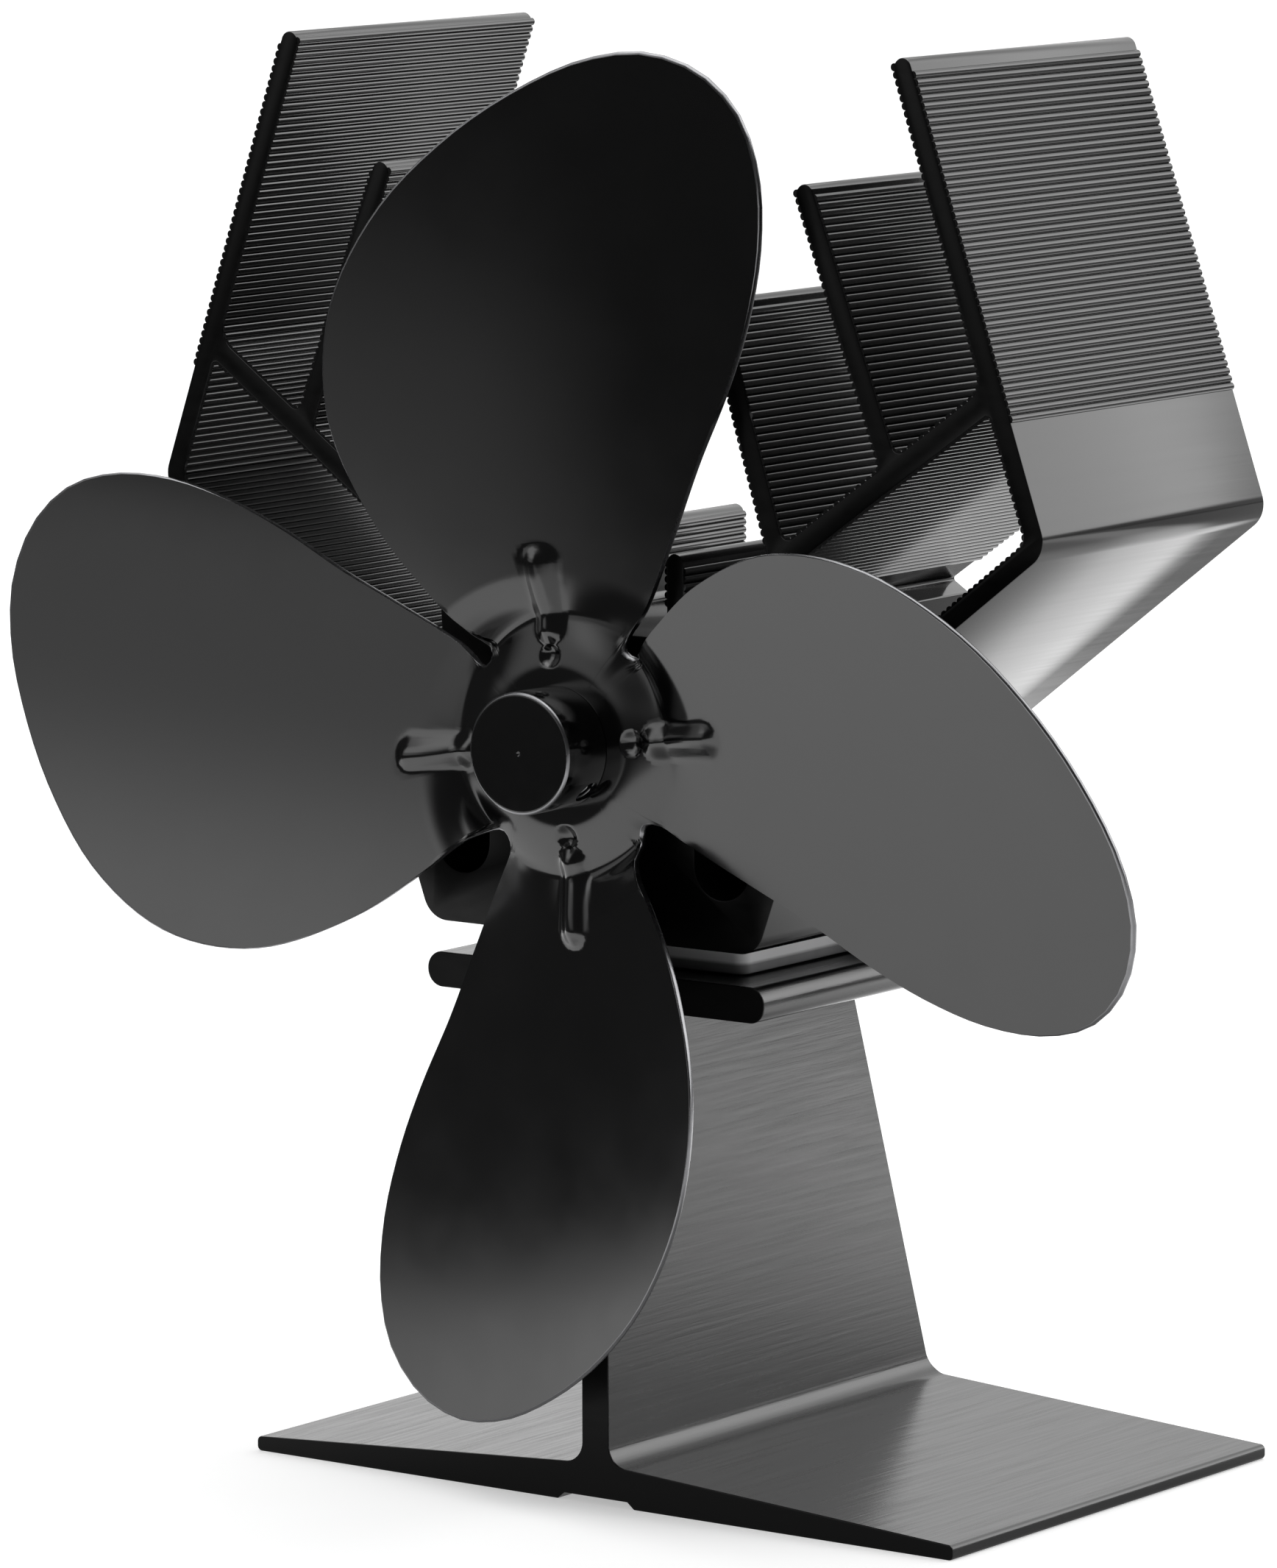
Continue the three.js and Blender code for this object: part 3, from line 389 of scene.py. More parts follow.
def blockMaterial():
    # the block under the heat sink: a bright upper part over a darker lower band
    values = {
        "upper": (0.85, 0.85, 0.86), "lower": (0.22, 0.22, 0.225), "edge": 73.75, "soft": 0.25,
        "metallic": 0.1, "middle": 0.42, "roughness": (0.34, 0.5), "lines": (700, 4, (1, 1, 0.08)),
        "relief": (0.15, 0.00006),
    }
    material, nodes, shader = newMaterial(
        "moduleBlock", values["upper"], values["metallic"], values["middle"],
    )
    height = nodes.parts(nodes.coordinates("Object"))["Z"]
    ends = [(values["edge"] + side * values["soft"]) * mm for side in (-1, 1)]
    step = nodes.ramp(height, *ends, 0.0, 1.0, "LINEAR")
    nodes.put(nodes.blendColors(step, values["lower"], values["upper"]), shader["Base Color"])
    lines = nodes.grain(*values["lines"])
    nodes.put(nodes.spread(lines, *values["roughness"]), shader["Roughness"])
    nodes.put(nodes.bump(lines, *values["relief"]), shader["Normal"])
    return material


def addSawnEnds(item):
    # the faces across Y get the duller finish
    item.data.materials.append(blackSawn)
    for face in item.data.polygons:
        if abs(face.normal.y) > 0.9:
            face.material_index = 1


blackAnodised, blackBrushed, blackSawn, blackSatin, highlightMetal, blackTurned = [
    makeFinish(name, values) for name, values in blackFinishes.items()
]
print("materials made")


# Camera, solved from the photograph
cameraValues = {
    "azimuth": 36.3075, "elevation": 8.2005, "roll": -0.1568,
    "position": (707.314, -952.495, 267.715), "focal": 12392.24, "imageHeight": 2131,
    "sensor": 36, "clip": (0.05, 50),
}


def addCamera():
    v = cameraValues
    azimuth, elevation, roll = (math.radians(v[key]) for key in ("azimuth", "elevation", "roll"))
    flat = math.cos(elevation)
    back = Vector((math.sin(azimuth) * flat, -math.cos(azimuth) * flat, math.sin(elevation)))
    right = Vector((math.cos(azimuth), math.sin(azimuth), 0))
    up = back.cross(right)
    turnedRight = right * math.cos(roll) + up * math.sin(roll)
    turnedUp = up * math.cos(roll) - right * math.sin(roll)
    x, y, z = v["position"]
    data = bpy.data.cameras.new("camera")
    data.sensor_fit = "VERTICAL"
    data.sensor_height = v["sensor"]
    data.lens = v["focal"] / v["imageHeight"] * v["sensor"]
    data.clip_start, data.clip_end = v["clip"]
    camera = bpy.data.objects.new("camera", data)
    turn = Matrix((turnedRight, turnedUp, back)).transposed().to_4x4()
    camera.matrix_world = Matrix.Translation(Vector((x, y + frontY, z)) * mm) @ turn
    scene.collection.objects.link(camera)
    scene.camera = camera


addCamera()


# Studio: a bright table that ends in front of the object, a dark room before it, light behind it.
# The room's values go by direction, with rises as sines; the table's go by place, in metres.
studio = {
    "dark": 0.04, "above": 1.2, "aboveRise": (0.66, 0.9), "behindFrom": (0.05, 0.5),
    "behind": 1.0, "behindRight": 1.1, "behindRightFrom": (0.0, 0.5),
    "horizon": 0.25, "horizonRise": (-0.05, 0.05), "horizonRight": 0.12, "horizonRightFrom": (-0.3, 0.3),
    "panelLeft": (-68, -46), "panelRight": (-30, -4),
    "panelLow": (-2, 5), "lowStrength": 0.42, "panelHigh": (14, 28), "highStrength": 0.55,
    "floorSize": 12.0, "floorColor": 0.8, "floorRoughness": 0.9, "floorSpecular": 0.1, "cameraGlow": 0.42,
    "tableAngle": 40, "tableReach": 0.31, "tableRound": 1.5, "tableEdge": 0.08,
    "tableFront": 0.95, "tableBack": 1.7, "tableBackFrom": (0.08, 0.17), "tableBackSlant": 0.4,
    "tableFar": 0.3, "tableFarFrom": (0.19, 0.27), "tableFarSlant": 0.6,
    "tableSide": 0.65, "tableSideFrom": (0.12, 0.25),
    "tableLeftLonger": 0.11, "tableLeftFrom": (0.02, 0.08),
    # the next three values paint the stand's shadow on the table, seen in reflections only
    "footShadow": 0.25, "underFootReach": (0.05, 0.15), "underFootPlace": (0.03, 0.01),
    "offTable": (0.03, 0.27), "offTableFrom": (-0.15, -0.03), "offTableTo": (0.06, 0.2),
    "offTableFront": (-0.69, -0.61),
    "lampPower": 6.0, "lampSize": 1.6, "lampPlace": (-0.15, 0.1, 1.5), "lampTarget": (0, 0, 0.05),
}


def inRadians(angles):
    return tuple(math.radians(angle) for angle in angles)


def addWorld():
    v = studio
    world = bpy.data.worlds.new("studio")
    world.use_nodes = True
    scene.world = world
    world.node_tree.nodes.clear()
    nodes = Nodes(world.node_tree)
    x, y, z = nodes.parts(nodes.coordinates("Generated"))
    # before the object: a dim band over the table's edge and a bright panel above it, to the left
    side = nodes.sum("ARCTAN2", x, nodes.sum("MULTIPLY", y, -1.0))
    rise = nodes.sum("ARCSINE", z)
    fromLeft = nodes.ramp(side, *inRadians(v["panelLeft"]))
    toRight = nodes.ramp(side, *inRadians(v["panelRight"]), 1.0, 0.0)
    low = nodes.ramp(rise, *inRadians(v["panelLow"]), 0.0, v["lowStrength"])
    high = nodes.ramp(rise, *inRadians(v["panelHigh"]), 0.0, v["highStrength"])
    lit = nodes.sum("MULTIPLY", nodes.sum("ADD", low, high), nodes.sum("MULTIPLY", fromLeft, toRight))
    seen = nodes.sum("ADD", v["dark"], lit)
    # behind it: light, brighter to the right, with a dim horizon
    behind = nodes.ramp(x, *v["behindRightFrom"], v["behind"], v["behind"] + v["behindRight"])
    lifted = nodes.sum("SUBTRACT", z, nodes.ramp(x, *v["horizonRightFrom"], 0.0, v["horizonRight"]))
    behind = nodes.blend(nodes.ramp(lifted, *v["horizonRise"]), v["horizon"], behind)
    seen = nodes.blend(nodes.ramp(y, *v["behindFrom"]), seen, behind)
    seen = nodes.blend(nodes.ramp(z, *v["aboveRise"]), seen, v["above"])
    isCamera = nodes.add("ShaderNodeLightPath", {})["Is Camera Ray"]
    values = {"Color": (1, 1, 1, 1), "Strength": nodes.blend(isCamera, seen, 1.0)}
    background = nodes.add("ShaderNodeBackground", values)
    nodes.add("ShaderNodeOutputWorld", {"Surface": background[0]})


def tableGlow(nodes, place, wide, deep):
    # what mirrored rays see of the table: brighter behind the fan, dim far away, and darker under the
    # foot, where a painted shadow of the stand lies
    v = studio
    beyond = nodes.sum("SUBTRACT", deep, nodes.sum("MULTIPLY", wide, v["tableBackSlant"]))
    glow = nodes.ramp(beyond, *v["tableBackFrom"], v["tableFront"], v["tableBack"])
    glow = nodes.sum("MULTIPLY", glow, nodes.ramp(wide, *v["tableSideFrom"], 1.0, v["tableSide"]))
    farther = nodes.sum("SUBTRACT", deep, nodes.sum("MULTIPLY", wide, v["tableFarSlant"]))
    longer = nodes.ramp(wide, *v["tableLeftFrom"], v["tableLeftLonger"], 0.0)
    farther = nodes.sum("SUBTRACT", farther, longer)
    glow = nodes.blend(nodes.ramp(farther, *v["tableFarFrom"]), glow, v["tableFar"])
    # painted shadow: the glow is dimmed near the stand's foot
    nearX, nearY = v["underFootPlace"]
    near = nodes.apart(place, (nearX, frontY * mm + nearY, 0))
    return nodes.sum("MULTIPLY", glow, nodes.ramp(near, *v["underFootReach"], v["footShadow"], 1.0))


def offTableGlow(nodes, wide, deep):
    # past the table's edge: a dim band before the fan
    v = studio
    dark, bright = v["offTable"]
    band = nodes.ramp(wide, *v["offTableFrom"], 0.0, bright - dark)
    band = nodes.sum("MULTIPLY", band, nodes.ramp(wide, *v["offTableTo"], 1.0, 0.0))
    band = nodes.sum("MULTIPLY", band, nodes.ramp(deep, *v["offTableFront"]))
    return nodes.sum("ADD", band, dark)


def addFloor():
    # mirrored rays see the table's glow only; the camera sees it nearly white, with the shadow
    v = studio
    half = v["floorSize"] / 2
    corners = [(-half, -half, 0), (half, -half, 0), (half, half, 0), (-half, half, 0)]
    floor = meshObject("floor", corners, [(0, 1, 2, 3)])
    tone = v["floorColor"]
    material, nodes, shader = newMaterial("paleFloor", (tone, tone, tone), roughness=v["floorRoughness"])
    shader["Specular IOR Level"].default_value = v["floorSpecular"]
    shader["Emission Color"].default_value = (1, 1, 1, 1)
    rays = nodes.add("ShaderNodeLightPath", {})
    place = nodes.coordinates("Object")
    wide, deep = nodes.parts(place)[:2]
    # the table's edge is part of a wide circle
    angle = math.radians(v["tableAngle"])
    far = v["tableRound"]
    apart = nodes.apart(place, (far * math.sin(angle), far * math.cos(angle), 0))
    edge = far + v["tableReach"]
    onTable = nodes.ramp(apart, edge, edge + v["tableEdge"], 1.0, 0.0)
    glow = nodes.blend(onTable, offTableGlow(nodes, wide, deep), tableGlow(nodes, place, wide, deep))
    mirrored = nodes.sum("MULTIPLY", glow, rays["Is Glossy Ray"])
    direct = nodes.sum("MULTIPLY", v["cameraGlow"], rays["Is Camera Ray"])
    nodes.put(nodes.sum("ADD", mirrored, direct), shader["Emission Strength"])
    paint = nodes.sum("MULTIPLY", nodes.sum("SUBTRACT", 1.0, rays["Is Glossy Ray"]), tone)
    color = nodes.add("ShaderNodeCombineColor", dict.fromkeys(range(3), paint))[0]
    nodes.put(color, shader["Base Color"])
    floor.data.materials.append(material)


def addLamp():
    v = studio
    data = bpy.data.lights.new("topSoftbox", "AREA")
    data.shape = "SQUARE"
    data.size = v["lampSize"]
    data.energy = v["lampPower"]
    lamp = bpy.data.objects.new("topSoftbox", data)
    lamp.location = v["lampPlace"]
    toTarget = Vector(v["lampTarget"]) - Vector(v["lampPlace"])
    lamp.rotation_euler = toTarget.to_track_quat("-Z", "Y").to_euler()
    scene.collection.objects.link(lamp)


addWorld()
addFloor()
addLamp()
print("camera, floor and light set")


# Stand: foot, web and top plate in one extrusion, cut off at a slant behind
stand = {
    "footWidth": 115, "footDepth": 75.3, "edge": 2.0, "root": 5.5, "edgeRadius": 0.7,
    "web": 4.4, "footFillet": 2.9, "plateFillet": 1.6, "height": 72.1, "plateWidth": 55.2,
    "plate": 4.8, "plateRadius": 2.35, "webTopDepth": 54.7, "grooveMouth": 12.6, "grooveFloor": 10.4,
    "grooveDepth": 0.9, "grooveFloorRadius": 0.15, "grooveMouthRadius": 0.25, "brokenEdge": 0.15,
    "arcStep": 5, "smoothAngle": 20,
}


def makeStand():
    v = stand
    bottom = v["height"] - v["plate"]
    slope = math.degrees(math.atan((v["root"] - v["edge"]) / ((v["footWidth"] - v["web"]) / 2)))
    top = lineAt(v["footWidth"] / 2, v["edge"], 180 - slope)
    face = lineAt(v["web"] / 2, 0, 90)
    right = [
        (v["grooveFloor"] / 2, v["grooveDepth"], v["grooveFloorRadius"]),
        (v["grooveMouth"] / 2, 0, v["grooveMouthRadius"]),
        (v["footWidth"] / 2, 0, v["edgeRadius"]),
        (v["footWidth"] / 2, v["edge"], v["edgeRadius"]),
        crossing(top, face, v["footFillet"]),
        (v["web"] / 2, bottom, v["plateFillet"]),
        (v["plateWidth"] / 2, bottom, v["plateRadius"]),
        (v["plateWidth"] / 2, v["height"], v["plateRadius"]),
    ]
    outline = roundedOutline(right + mirrored(right), v["arcStep"])
    back = frontY + v["footDepth"]
    item = bevelledExtrusion("stand", outline, [], frontY, back, v["brokenEdge"])
    # behind, everything above the foot follows the slanted cut
    tilt = (v["footDepth"] - v["webTopDepth"]) / (bottom - v["root"])
    cutPoint = Vector((0, back * mm, v["root"] * mm))
    normal = Vector((0, 1, tilt)).normalized()
    with meshEdit(item.data) as edit:
        bmesh.ops.bisect_plane(
            edit, geom=edit.verts[:] + edit.edges[:] + edit.faces[:], plane_co=cutPoint,
            plane_no=normal, clear_outer=True,
        )
        openEdges = [edge for edge in edit.edges if len(edge.link_faces) == 1]
        bmesh.ops.holes_fill(edit, edges=openEdges, sides=0)
        bmesh.ops.recalc_face_normals(edit, faces=edit.faces[:])
    setAutoSmooth(item, v["smoothAngle"])
    item.data.materials.append(blackBrushed)
    addSawnEnds(item)
    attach(item, "stand")
    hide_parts("base_stand")


makeStand()
print("stand made")


# Heat sink: heights are above its underside. Its ribs stand on faces set back by the rib height.
sink = {
    "depth": 52.1, "footHalf": 26.8, "footRadius": 4, "waistHalf": 30.1, "waistRise": 9.1,
    "waistRadius": 3.5, "shoulderHalf": 31, "shoulderRise": 24.3, "shoulderRadius": 1.7,
    "panelAngle": 37.7, "panel": 2.6, "elbowRadius": 3.6, "armRootRise": 42.7, "armAngle": 35.3,
    "arm": 2.9, "rootRadius": 1.3, "outerRootRadius": 3.4, "channelRise": 40.6, "channelRadius": 1.5,
    "loopRadius": 1.6, "loopElbowRadius": 2.3, "loopTipRadius": 0.8, "cheekTopX": 24.7,
    "cheekTopRise": 42.3, "cheekBottomX": 23.7, "ledge": 2.7,
    "slotX": 21.2, "slotMiddle": 12.9, "slotHalf": 6.1, "slotRadius": 4.4,
    "axisRise": 26.2, "bore": 12.4, "brokenEdge": 0.18,
    "ribPitch": 1.033, "ribRadius": 0.53, "ribRise": 0.4, "outerRibsFrom": 72.4, "plainTip": 1.25,
    "loopRibsFrom": 26.4, "panelRibsTo": 27.0, "shortRibs": 5.3, "ribSides": 20, "ribSetback": 0.1,
    "ledgeRadius": 0.4, "boreSides": 96, "smoothAngle": 24, "ribSmoothAngle": 40,
}
# each fin: its tip's x and height, its lean in degrees and its thickness
fins = {
    "outer": (49.6, 117.5, 19.1, 2.7), "middle": (34.4, 100.8, 20.9, 2.65),
    "inner": (20.2, 85.3, 17.4, 2.65), "short": (13.75, 51.8, 0, 2.65),
}


def finLines(name):
    tipX, top, lean, thickness = fins[name]
    half = thickness / 2
    middle = lineAt(tipX, top - half, 90 + lean)
    outer = shifted(middle, -half)
    inner = shifted(middle, half)
    tips = [(face[0] + half * face[2], face[1] + half * face[3], half) for face in (outer, inner)]
    return outer, inner, tips[0], tips[1]


def sinkLines():
    v = sink
    shortFace = fins["short"][0] + fins["short"][3] / 2
    armTop = lineAt(shortFace, v["armRootRise"], v["armAngle"])
    panelOuter = lineAt(v["shoulderHalf"], v["shoulderRise"], v["panelAngle"])
    panelInner = shifted(panelOuter, v["panel"])
    rise = v["cheekTopRise"] - crossing(panelInner, lineAt(v["cheekBottomX"], 0, 90))[1]
    cheekAngle = math.degrees(math.atan2(rise, v["cheekTopX"] - v["cheekBottomX"]))
    cheek = lineAt(v["cheekTopX"], v["cheekTopRise"], cheekAngle)
    return {
        "armTop": armTop, "armUnder": shifted(armTop, -v["arm"]), "panelOuter": panelOuter,
        "panelInner": panelInner, "cheek": cheek,
    }


def sinkOutline():
    v = sink
    lines = sinkLines()
    right = [
        (v["footHalf"], 0, v["footRadius"]),
        (v["waistHalf"], v["waistRise"], v["waistRadius"]),
        (v["shoulderHalf"], v["shoulderRise"], v["shoulderRadius"]),
    ]
    for name in fins:
        face, back, *tips = finLines(name)
        if name == "outer":
            root = crossing(lines["panelOuter"], face, v["elbowRadius"])
            nextRoot = crossing(back, lines["armTop"], v["outerRootRadius"])
        else:
            root = crossing(face, lines["armTop"], v["rootRadius"])
            nextRoot = crossing(back, lines["armTop"], v["rootRadius"])
        right.extend([root, *tips, nextRoot])
    # the short fin's inner face goes down to the channel's floor
    right[-1] = (fins["short"][0] - fins["short"][3] / 2, v["channelRise"], v["channelRadius"])
    return right + mirrored(right)


def loopCorners():
    v = sink
    lines = sinkLines()
    outerIn = finLines("outer")[1]
    return [
        crossing(lines["armUnder"], lineAt(v["cheekTopX"] - v["ledge"], 0, 90), v["ledgeRadius"]),
        (v["cheekTopX"], v["cheekTopRise"], v["ledgeRadius"]),
        crossing(lines["cheek"], lines["panelInner"], v["loopRadius"]),
        crossing(lines["panelInner"], outerIn, v["loopElbowRadius"]),
        crossing(outerIn, lines["armUnder"], v["loopTipRadius"]),
    ]


def raised(points):
    return [(x, z + float(sinkLow[2])) for x, z in points]


def makeSink():
    v = sink
    slotCorners = [
        (v["slotX"] + side * v["slotRadius"], v["slotMiddle"] + up * v["slotHalf"], v["slotRadius"])
        for side, up in ((-1, -1), (1, -1), (1, 1), (-1, 1))
    ]
    turns = [math.tau * i / v["boreSides"] for i in range(v["boreSides"])]
    bore = [(v["bore"] * math.cos(turn), v["axisRise"] + v["bore"] * math.sin(turn)) for turn in turns]
    holes = []
    for corners in (loopCorners(), slotCorners):
        holes.extend([raised(roundedOutline(corners)), raised(roundedOutline(mirrored(corners)))])
    holes.append(raised(bore))
    outline = raised(roundedOutline(sinkOutline()))
    start = float(sinkLow[1])
    item = bevelledExtrusion("heatSink", outline, holes, start, start + v["depth"], v["brokenEdge"])
    setAutoSmooth(item, v["smoothAngle"])
    item.data.materials.append(blackAnodised)
    addSawnEnds(item)
    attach(item, "stand")
    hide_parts("heat_sink")


makeSink()
print("heat sink made")


# Node trees that lay one shape again and again along a path
def startTree(name, kinds):
    # its named inputs are a path, the given sizes and a material
    tree = bpy.data.node_groups.new(name, "GeometryNodeTree")
    face = tree.interface
    face.new_socket("Geometry", in_out="INPUT", socket_type="NodeSocketGeometry")
    for key, kind in kinds.items():
        face.new_socket(key, in_out="INPUT", socket_type=kind)
    face.new_socket("Material", in_out="INPUT", socket_type="NodeSocketMaterial")
    face.new_socket("Geometry", in_out="OUTPUT", socket_type="NodeSocketGeometry")
    nodes = Nodes(tree)
    return tree, nodes, nodes.add("NodeGroupInput", {})


def layAlong(nodes, start, shape, turn):
    # the shape stands at every pitch along the path, made real, smooth and painted
    curve = nodes.add("GeometryNodeMeshToCurve", {"Mesh": start["Geometry"]})["Curve"]
    values = {"Curve": curve, "Length": start["Pitch"]}
    points = nodes.add("GeometryNodeResampleCurve", values, mode="LENGTH")["Curve"]
    values = {"Points": points, "Instance": shape, "Rotation": turn}
    spots = nodes.add("GeometryNodeInstanceOnPoints", values)["Instances"]
    real = nodes.add("GeometryNodeRealizeInstances", {"Geometry": spots})["Geometry"]
    smooth = nodes.add("GeometryNodeSetShadeSmooth", {"Geometry": real})["Geometry"]
    values = {"Geometry": smooth, "Material": start["Material"]}
    painted = nodes.add("GeometryNodeSetMaterial", values)["Geometry"]
    nodes.add("NodeGroupOutput", {"Geometry": painted})


def growPiece(name, vertices, edges, tree, wanted):
    # the piece is what the tree makes of a path
    mesh = bpy.data.meshes.new(name)
    mesh.from_pydata(vertices, edges, [])
    item = bpy.data.objects.new(name, mesh)
    scene.collection.objects.link(item)
    rows = item.modifiers.new("rows", "NODES")
    rows.node_group = tree
    for socket in tree.interface.items_tree:
        if socket.item_type == "SOCKET" and socket.in_out == "INPUT" and socket.name in wanted:
            rows[socket.identifier] = wanted[socket.name]
    return bakeModifiers(item)


# Ribs: thin bars along Y, on the faces of the heat sink that carry them
def ribTree():
    tree, nodes, start = startTree("ribRows", {
        "Pitch": "NodeSocketFloat", "Rib radius": "NodeSocketFloat", "Rib length": "NodeSocketFloat",
    })
    sizes = {"Vertices": sink["ribSides"], "Radius": start["Rib radius"], "Depth": start["Rib length"]}
    bar = nodes.add("GeometryNodeMeshCylinder", sizes)["Mesh"]
    values = {"Geometry": bar, "Rotation": (math.radians(90), 0, 0)}
    laid = nodes.add("GeometryNodeTransform", values)["Geometry"]
    layAlong(nodes, start, laid, (0, 0, 0))
    return tree


def cutToPitch(points):
    # the path ends on its last whole rib, so that the rows keep their pitch
    lengths = [math.dist(a, b) for a, b in zip(points, points[1:])]
    left = math.floor(sum(lengths) / sink["ribPitch"]) * sink["ribPitch"] + 0.001
    kept = [points[0]]
    for length, a, b in zip(lengths, points, points[1:]):
        share = min(1, left / length)
        kept.append((a[0] + (b[0] - a[0]) * share, a[1] + (b[1] - a[1]) * share))
        left -= length
        if left <= 0:
            break
    return kept


def atHeight(line, z):
    along = (z - line[1]) / line[3]
    return (line[0] + along * line[2], z, 0)


def ribPaths():
    # the bars' middles lie under the faces: (x, z) paths round each bay and each loop
    v = sink
    deep = v["ribRadius"] - v["ribRise"]
    lines = sinkLines()
    floorLine = shifted(lines["armTop"], -deep)
    faces = {name: shifted(finLines(name)[0], deep) for name in fins}
    backs = {name: shifted(finLines(name)[1], -deep) for name in fins}
    tops = {name: fins[name][1] - v["plainTip"] for name in fins}
    paths = []
    # down the inner face of one fin, over the arm, and up the outer face of the next
    names = list(fins)
    for left, right in zip(names, names[1:]):
        radius = v["outerRootRadius"] if left == "outer" else v["rootRadius"]
        paths.append([
            atHeight(backs[left], tops[left]),
            crossing(backs[left], floorLine, radius + deep),
            crossing(faces[right], floorLine, v["rootRadius"] + deep),
            atHeight(faces[right], tops[right]),
        ])
    paths.append([atHeight(faces["outer"], z) for z in (v["outerRibsFrom"], tops["outer"])])
    paths.append([atHeight(backs["short"], z) for z in (tops["short"] - v["shortRibs"], tops["short"])])
    under = shifted(lines["armUnder"], deep)
    panel = shifted(lines["panelInner"], -deep)
    paths.append([
        crossing(under, lineAt(v["loopRibsFrom"], 0, 90)),
        crossing(under, backs["outer"], v["loopTipRadius"] + deep),
        crossing(backs["outer"], panel, v["loopElbowRadius"] + deep),
        crossing(panel, lineAt(v["panelRibsTo"], 0, 90)),
    ])
    return [cutToPitch(roundedPath(path)) for path in paths]


def makeRibs():
    middleY = float(sinkLow[1]) + sink["depth"] / 2
    vertices = []
    edges = []
    for path in ribPaths():
        for side in (1, -1):
            start = len(vertices)
            for x, z in path:
                vertices.append((side * x * mm, middleY * mm, (z + float(sinkLow[2])) * mm))
            edges.extend((i, i + 1) for i in range(start, len(vertices) - 1))
    item = growPiece("sinkRibs", vertices, edges, ribTree(), {
        "Pitch": sink["ribPitch"] * mm, "Rib radius": sink["ribRadius"] * mm,
        "Rib length": (sink["depth"] - 2 * sink["ribSetback"]) * mm, "Material": blackAnodised,
    })
    setAutoSmooth(item, sink["ribSmoothAngle"])
    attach(item, "stand")


makeRibs()
print("ribs made")


# Blade sheet: a height over the plane of the fan, raised near the hub, with pressed beads
blades = {
    "turn": -8.7, "count": 4, "tipRadius": 92.6, "coneRadius": 10.2, "conePower": 1.6, "stepRadius": 17.3,
    "twistFrom": 12, "twistEnd": 23, "notchRadius": 16.1, "notchEdge": 3,
    "plane": 11.1, "pitchRoot": 13.7, "pitchTip": 11.4, "lean": 3.1, "camber": 170,
    "thickness": 1.0, "hole": 5.3, "beadTurn": 15.2, "beadStart": 13.2, "beadEnd": 26.6,
    "beadHalf": 2.4, "beadHeight": 1.4, "dimplePlace": 11.9, "dimpleRadius": 1.6,
    "dimpleDepth": 0.9, "beadCrest": 0.08, "innerRings": 76, "innerReach": 29, "outerBand": 2.6,
    "ringPlaces": (0, 0.14, 0.62, 1), "ringShares": (0, 0.19, 0.4, 1), "outerRings": 26,
    "ringPower": 1.15, "rimSteps": 6, "rimFullness": 0.9, "splineSteps": 24, "columns": 400,
    "columnEase": 14, "smoothAngle": 50,
}
# one blade's edge, as shares of the tip radius: (along, across)
bladeOutline = [
    (0.175, -0.079), (0.221, -0.097), (0.333, -0.127), (0.443, -0.155), (0.559, -0.191),
    (0.66, -0.213), (0.765, -0.221), (0.865, -0.207), (0.94, -0.17), (0.988, -0.104),
    (1.001, -0.02), (0.978, 0.065), (0.93, 0.146), (0.841, 0.248), (0.714, 0.342),
    (0.559, 0.394), (0.4, 0.381), (0.26, 0.303), (0.173, 0.218), (0.126, 0.164),
    (0.097, 0.149), (0.08, 0.157),
]


def bladeFrame(x, z):
    # the nearest blade's angle, the angle from it, and the place along and across it
    v = blades
    quarter = 2 * np.pi / v["count"]
    turn = np.arctan2(z, x)
    blade = np.round((turn - math.radians(v["beadTurn"])) / quarter) * quarter
    along = x * np.cos(blade) + z * np.sin(blade)
    across = -x * np.sin(blade) + z * np.cos(blade)
    return turn - blade, along, across


def smoothShare(value, low, high):
    t = np.clip((value - low) / (high - low), 0, 1)
    return t * t * (3 - 2 * t)


def sheetFront(x, z):
    # a raised flat middle, a step down to the blades, and a pitch that fades out towards the middle
    v = blades
    radius = np.hypot(x, z)
    turn, along, across = bladeFrame(x, z)
    pitch = np.radians(v["pitchRoot"] + (v["pitchTip"] - v["pitchRoot"]) * along / v["tipRadius"])
    middle = radius * np.sin(4 * turn) / 4
    apart = smoothShare(radius, v["notchRadius"], v["notchRadius"] + v["notchEdge"])
    side = middle + (across - middle) * apart
    leaning = hubFront + v["plane"] - along * math.tan(math.radians(v["lean"]))
    # a bell with a flat top and a crisp foot
    down = np.clip((radius - v["coneRadius"]) / (v["stepRadius"] - v["coneRadius"]), 0, 1)
    step = down ** v["conePower"]
    twist = smoothShare(radius, v["twistFrom"], v["twistEnd"])
    bend = side * np.tan(pitch) + side ** 2 / (2 * v["camber"])
    return hubBack + (leaning - hubBack) * step - twist * bend


def pressed(x, z):
    # how far the beads stand forward, and the dimples go back
    v = blades
    along, across = bladeFrame(x, z)[1:]
    tilt = math.radians(v["beadTurn"])
    out = along * math.cos(tilt) + across * math.sin(tilt)
    side = -along * math.sin(tilt) + across * math.cos(tilt)
    nearest = np.clip(out, v["beadStart"] + v["beadHalf"], v["beadEnd"] - v["beadHalf"])
    away = np.hypot(out - nearest, side) / v["beadHalf"]
    # a roof with a slightly rounded crest
    crest = v["beadCrest"]
    top = math.sqrt(1 + crest)
    rise = v["beadHeight"] * (top - np.sqrt(np.minimum(away, 1) ** 2 + crest)) / (top - math.sqrt(crest))
    hole = np.clip(1 - (np.hypot(out - v["dimplePlace"], side) / v["dimpleRadius"]) ** 2, 0, 1)
    return rise - v["dimpleDepth"] * hole


def between(first, second, low, high, s):
    return (high - s) / (high - low) * first + (s - low) / (high - low) * second


def splinePoint(p, t, s):
    # a place on the centripetal spline between the second and the third of four points
    a = [between(p[i], p[i + 1], t[i], t[i + 1], s) for i in range(3)]
    b = [between(a[i], a[i + 1], t[i], t[i + 2], s) for i in range(2)]
    return between(b[0], b[1], t[1], t[2], s)


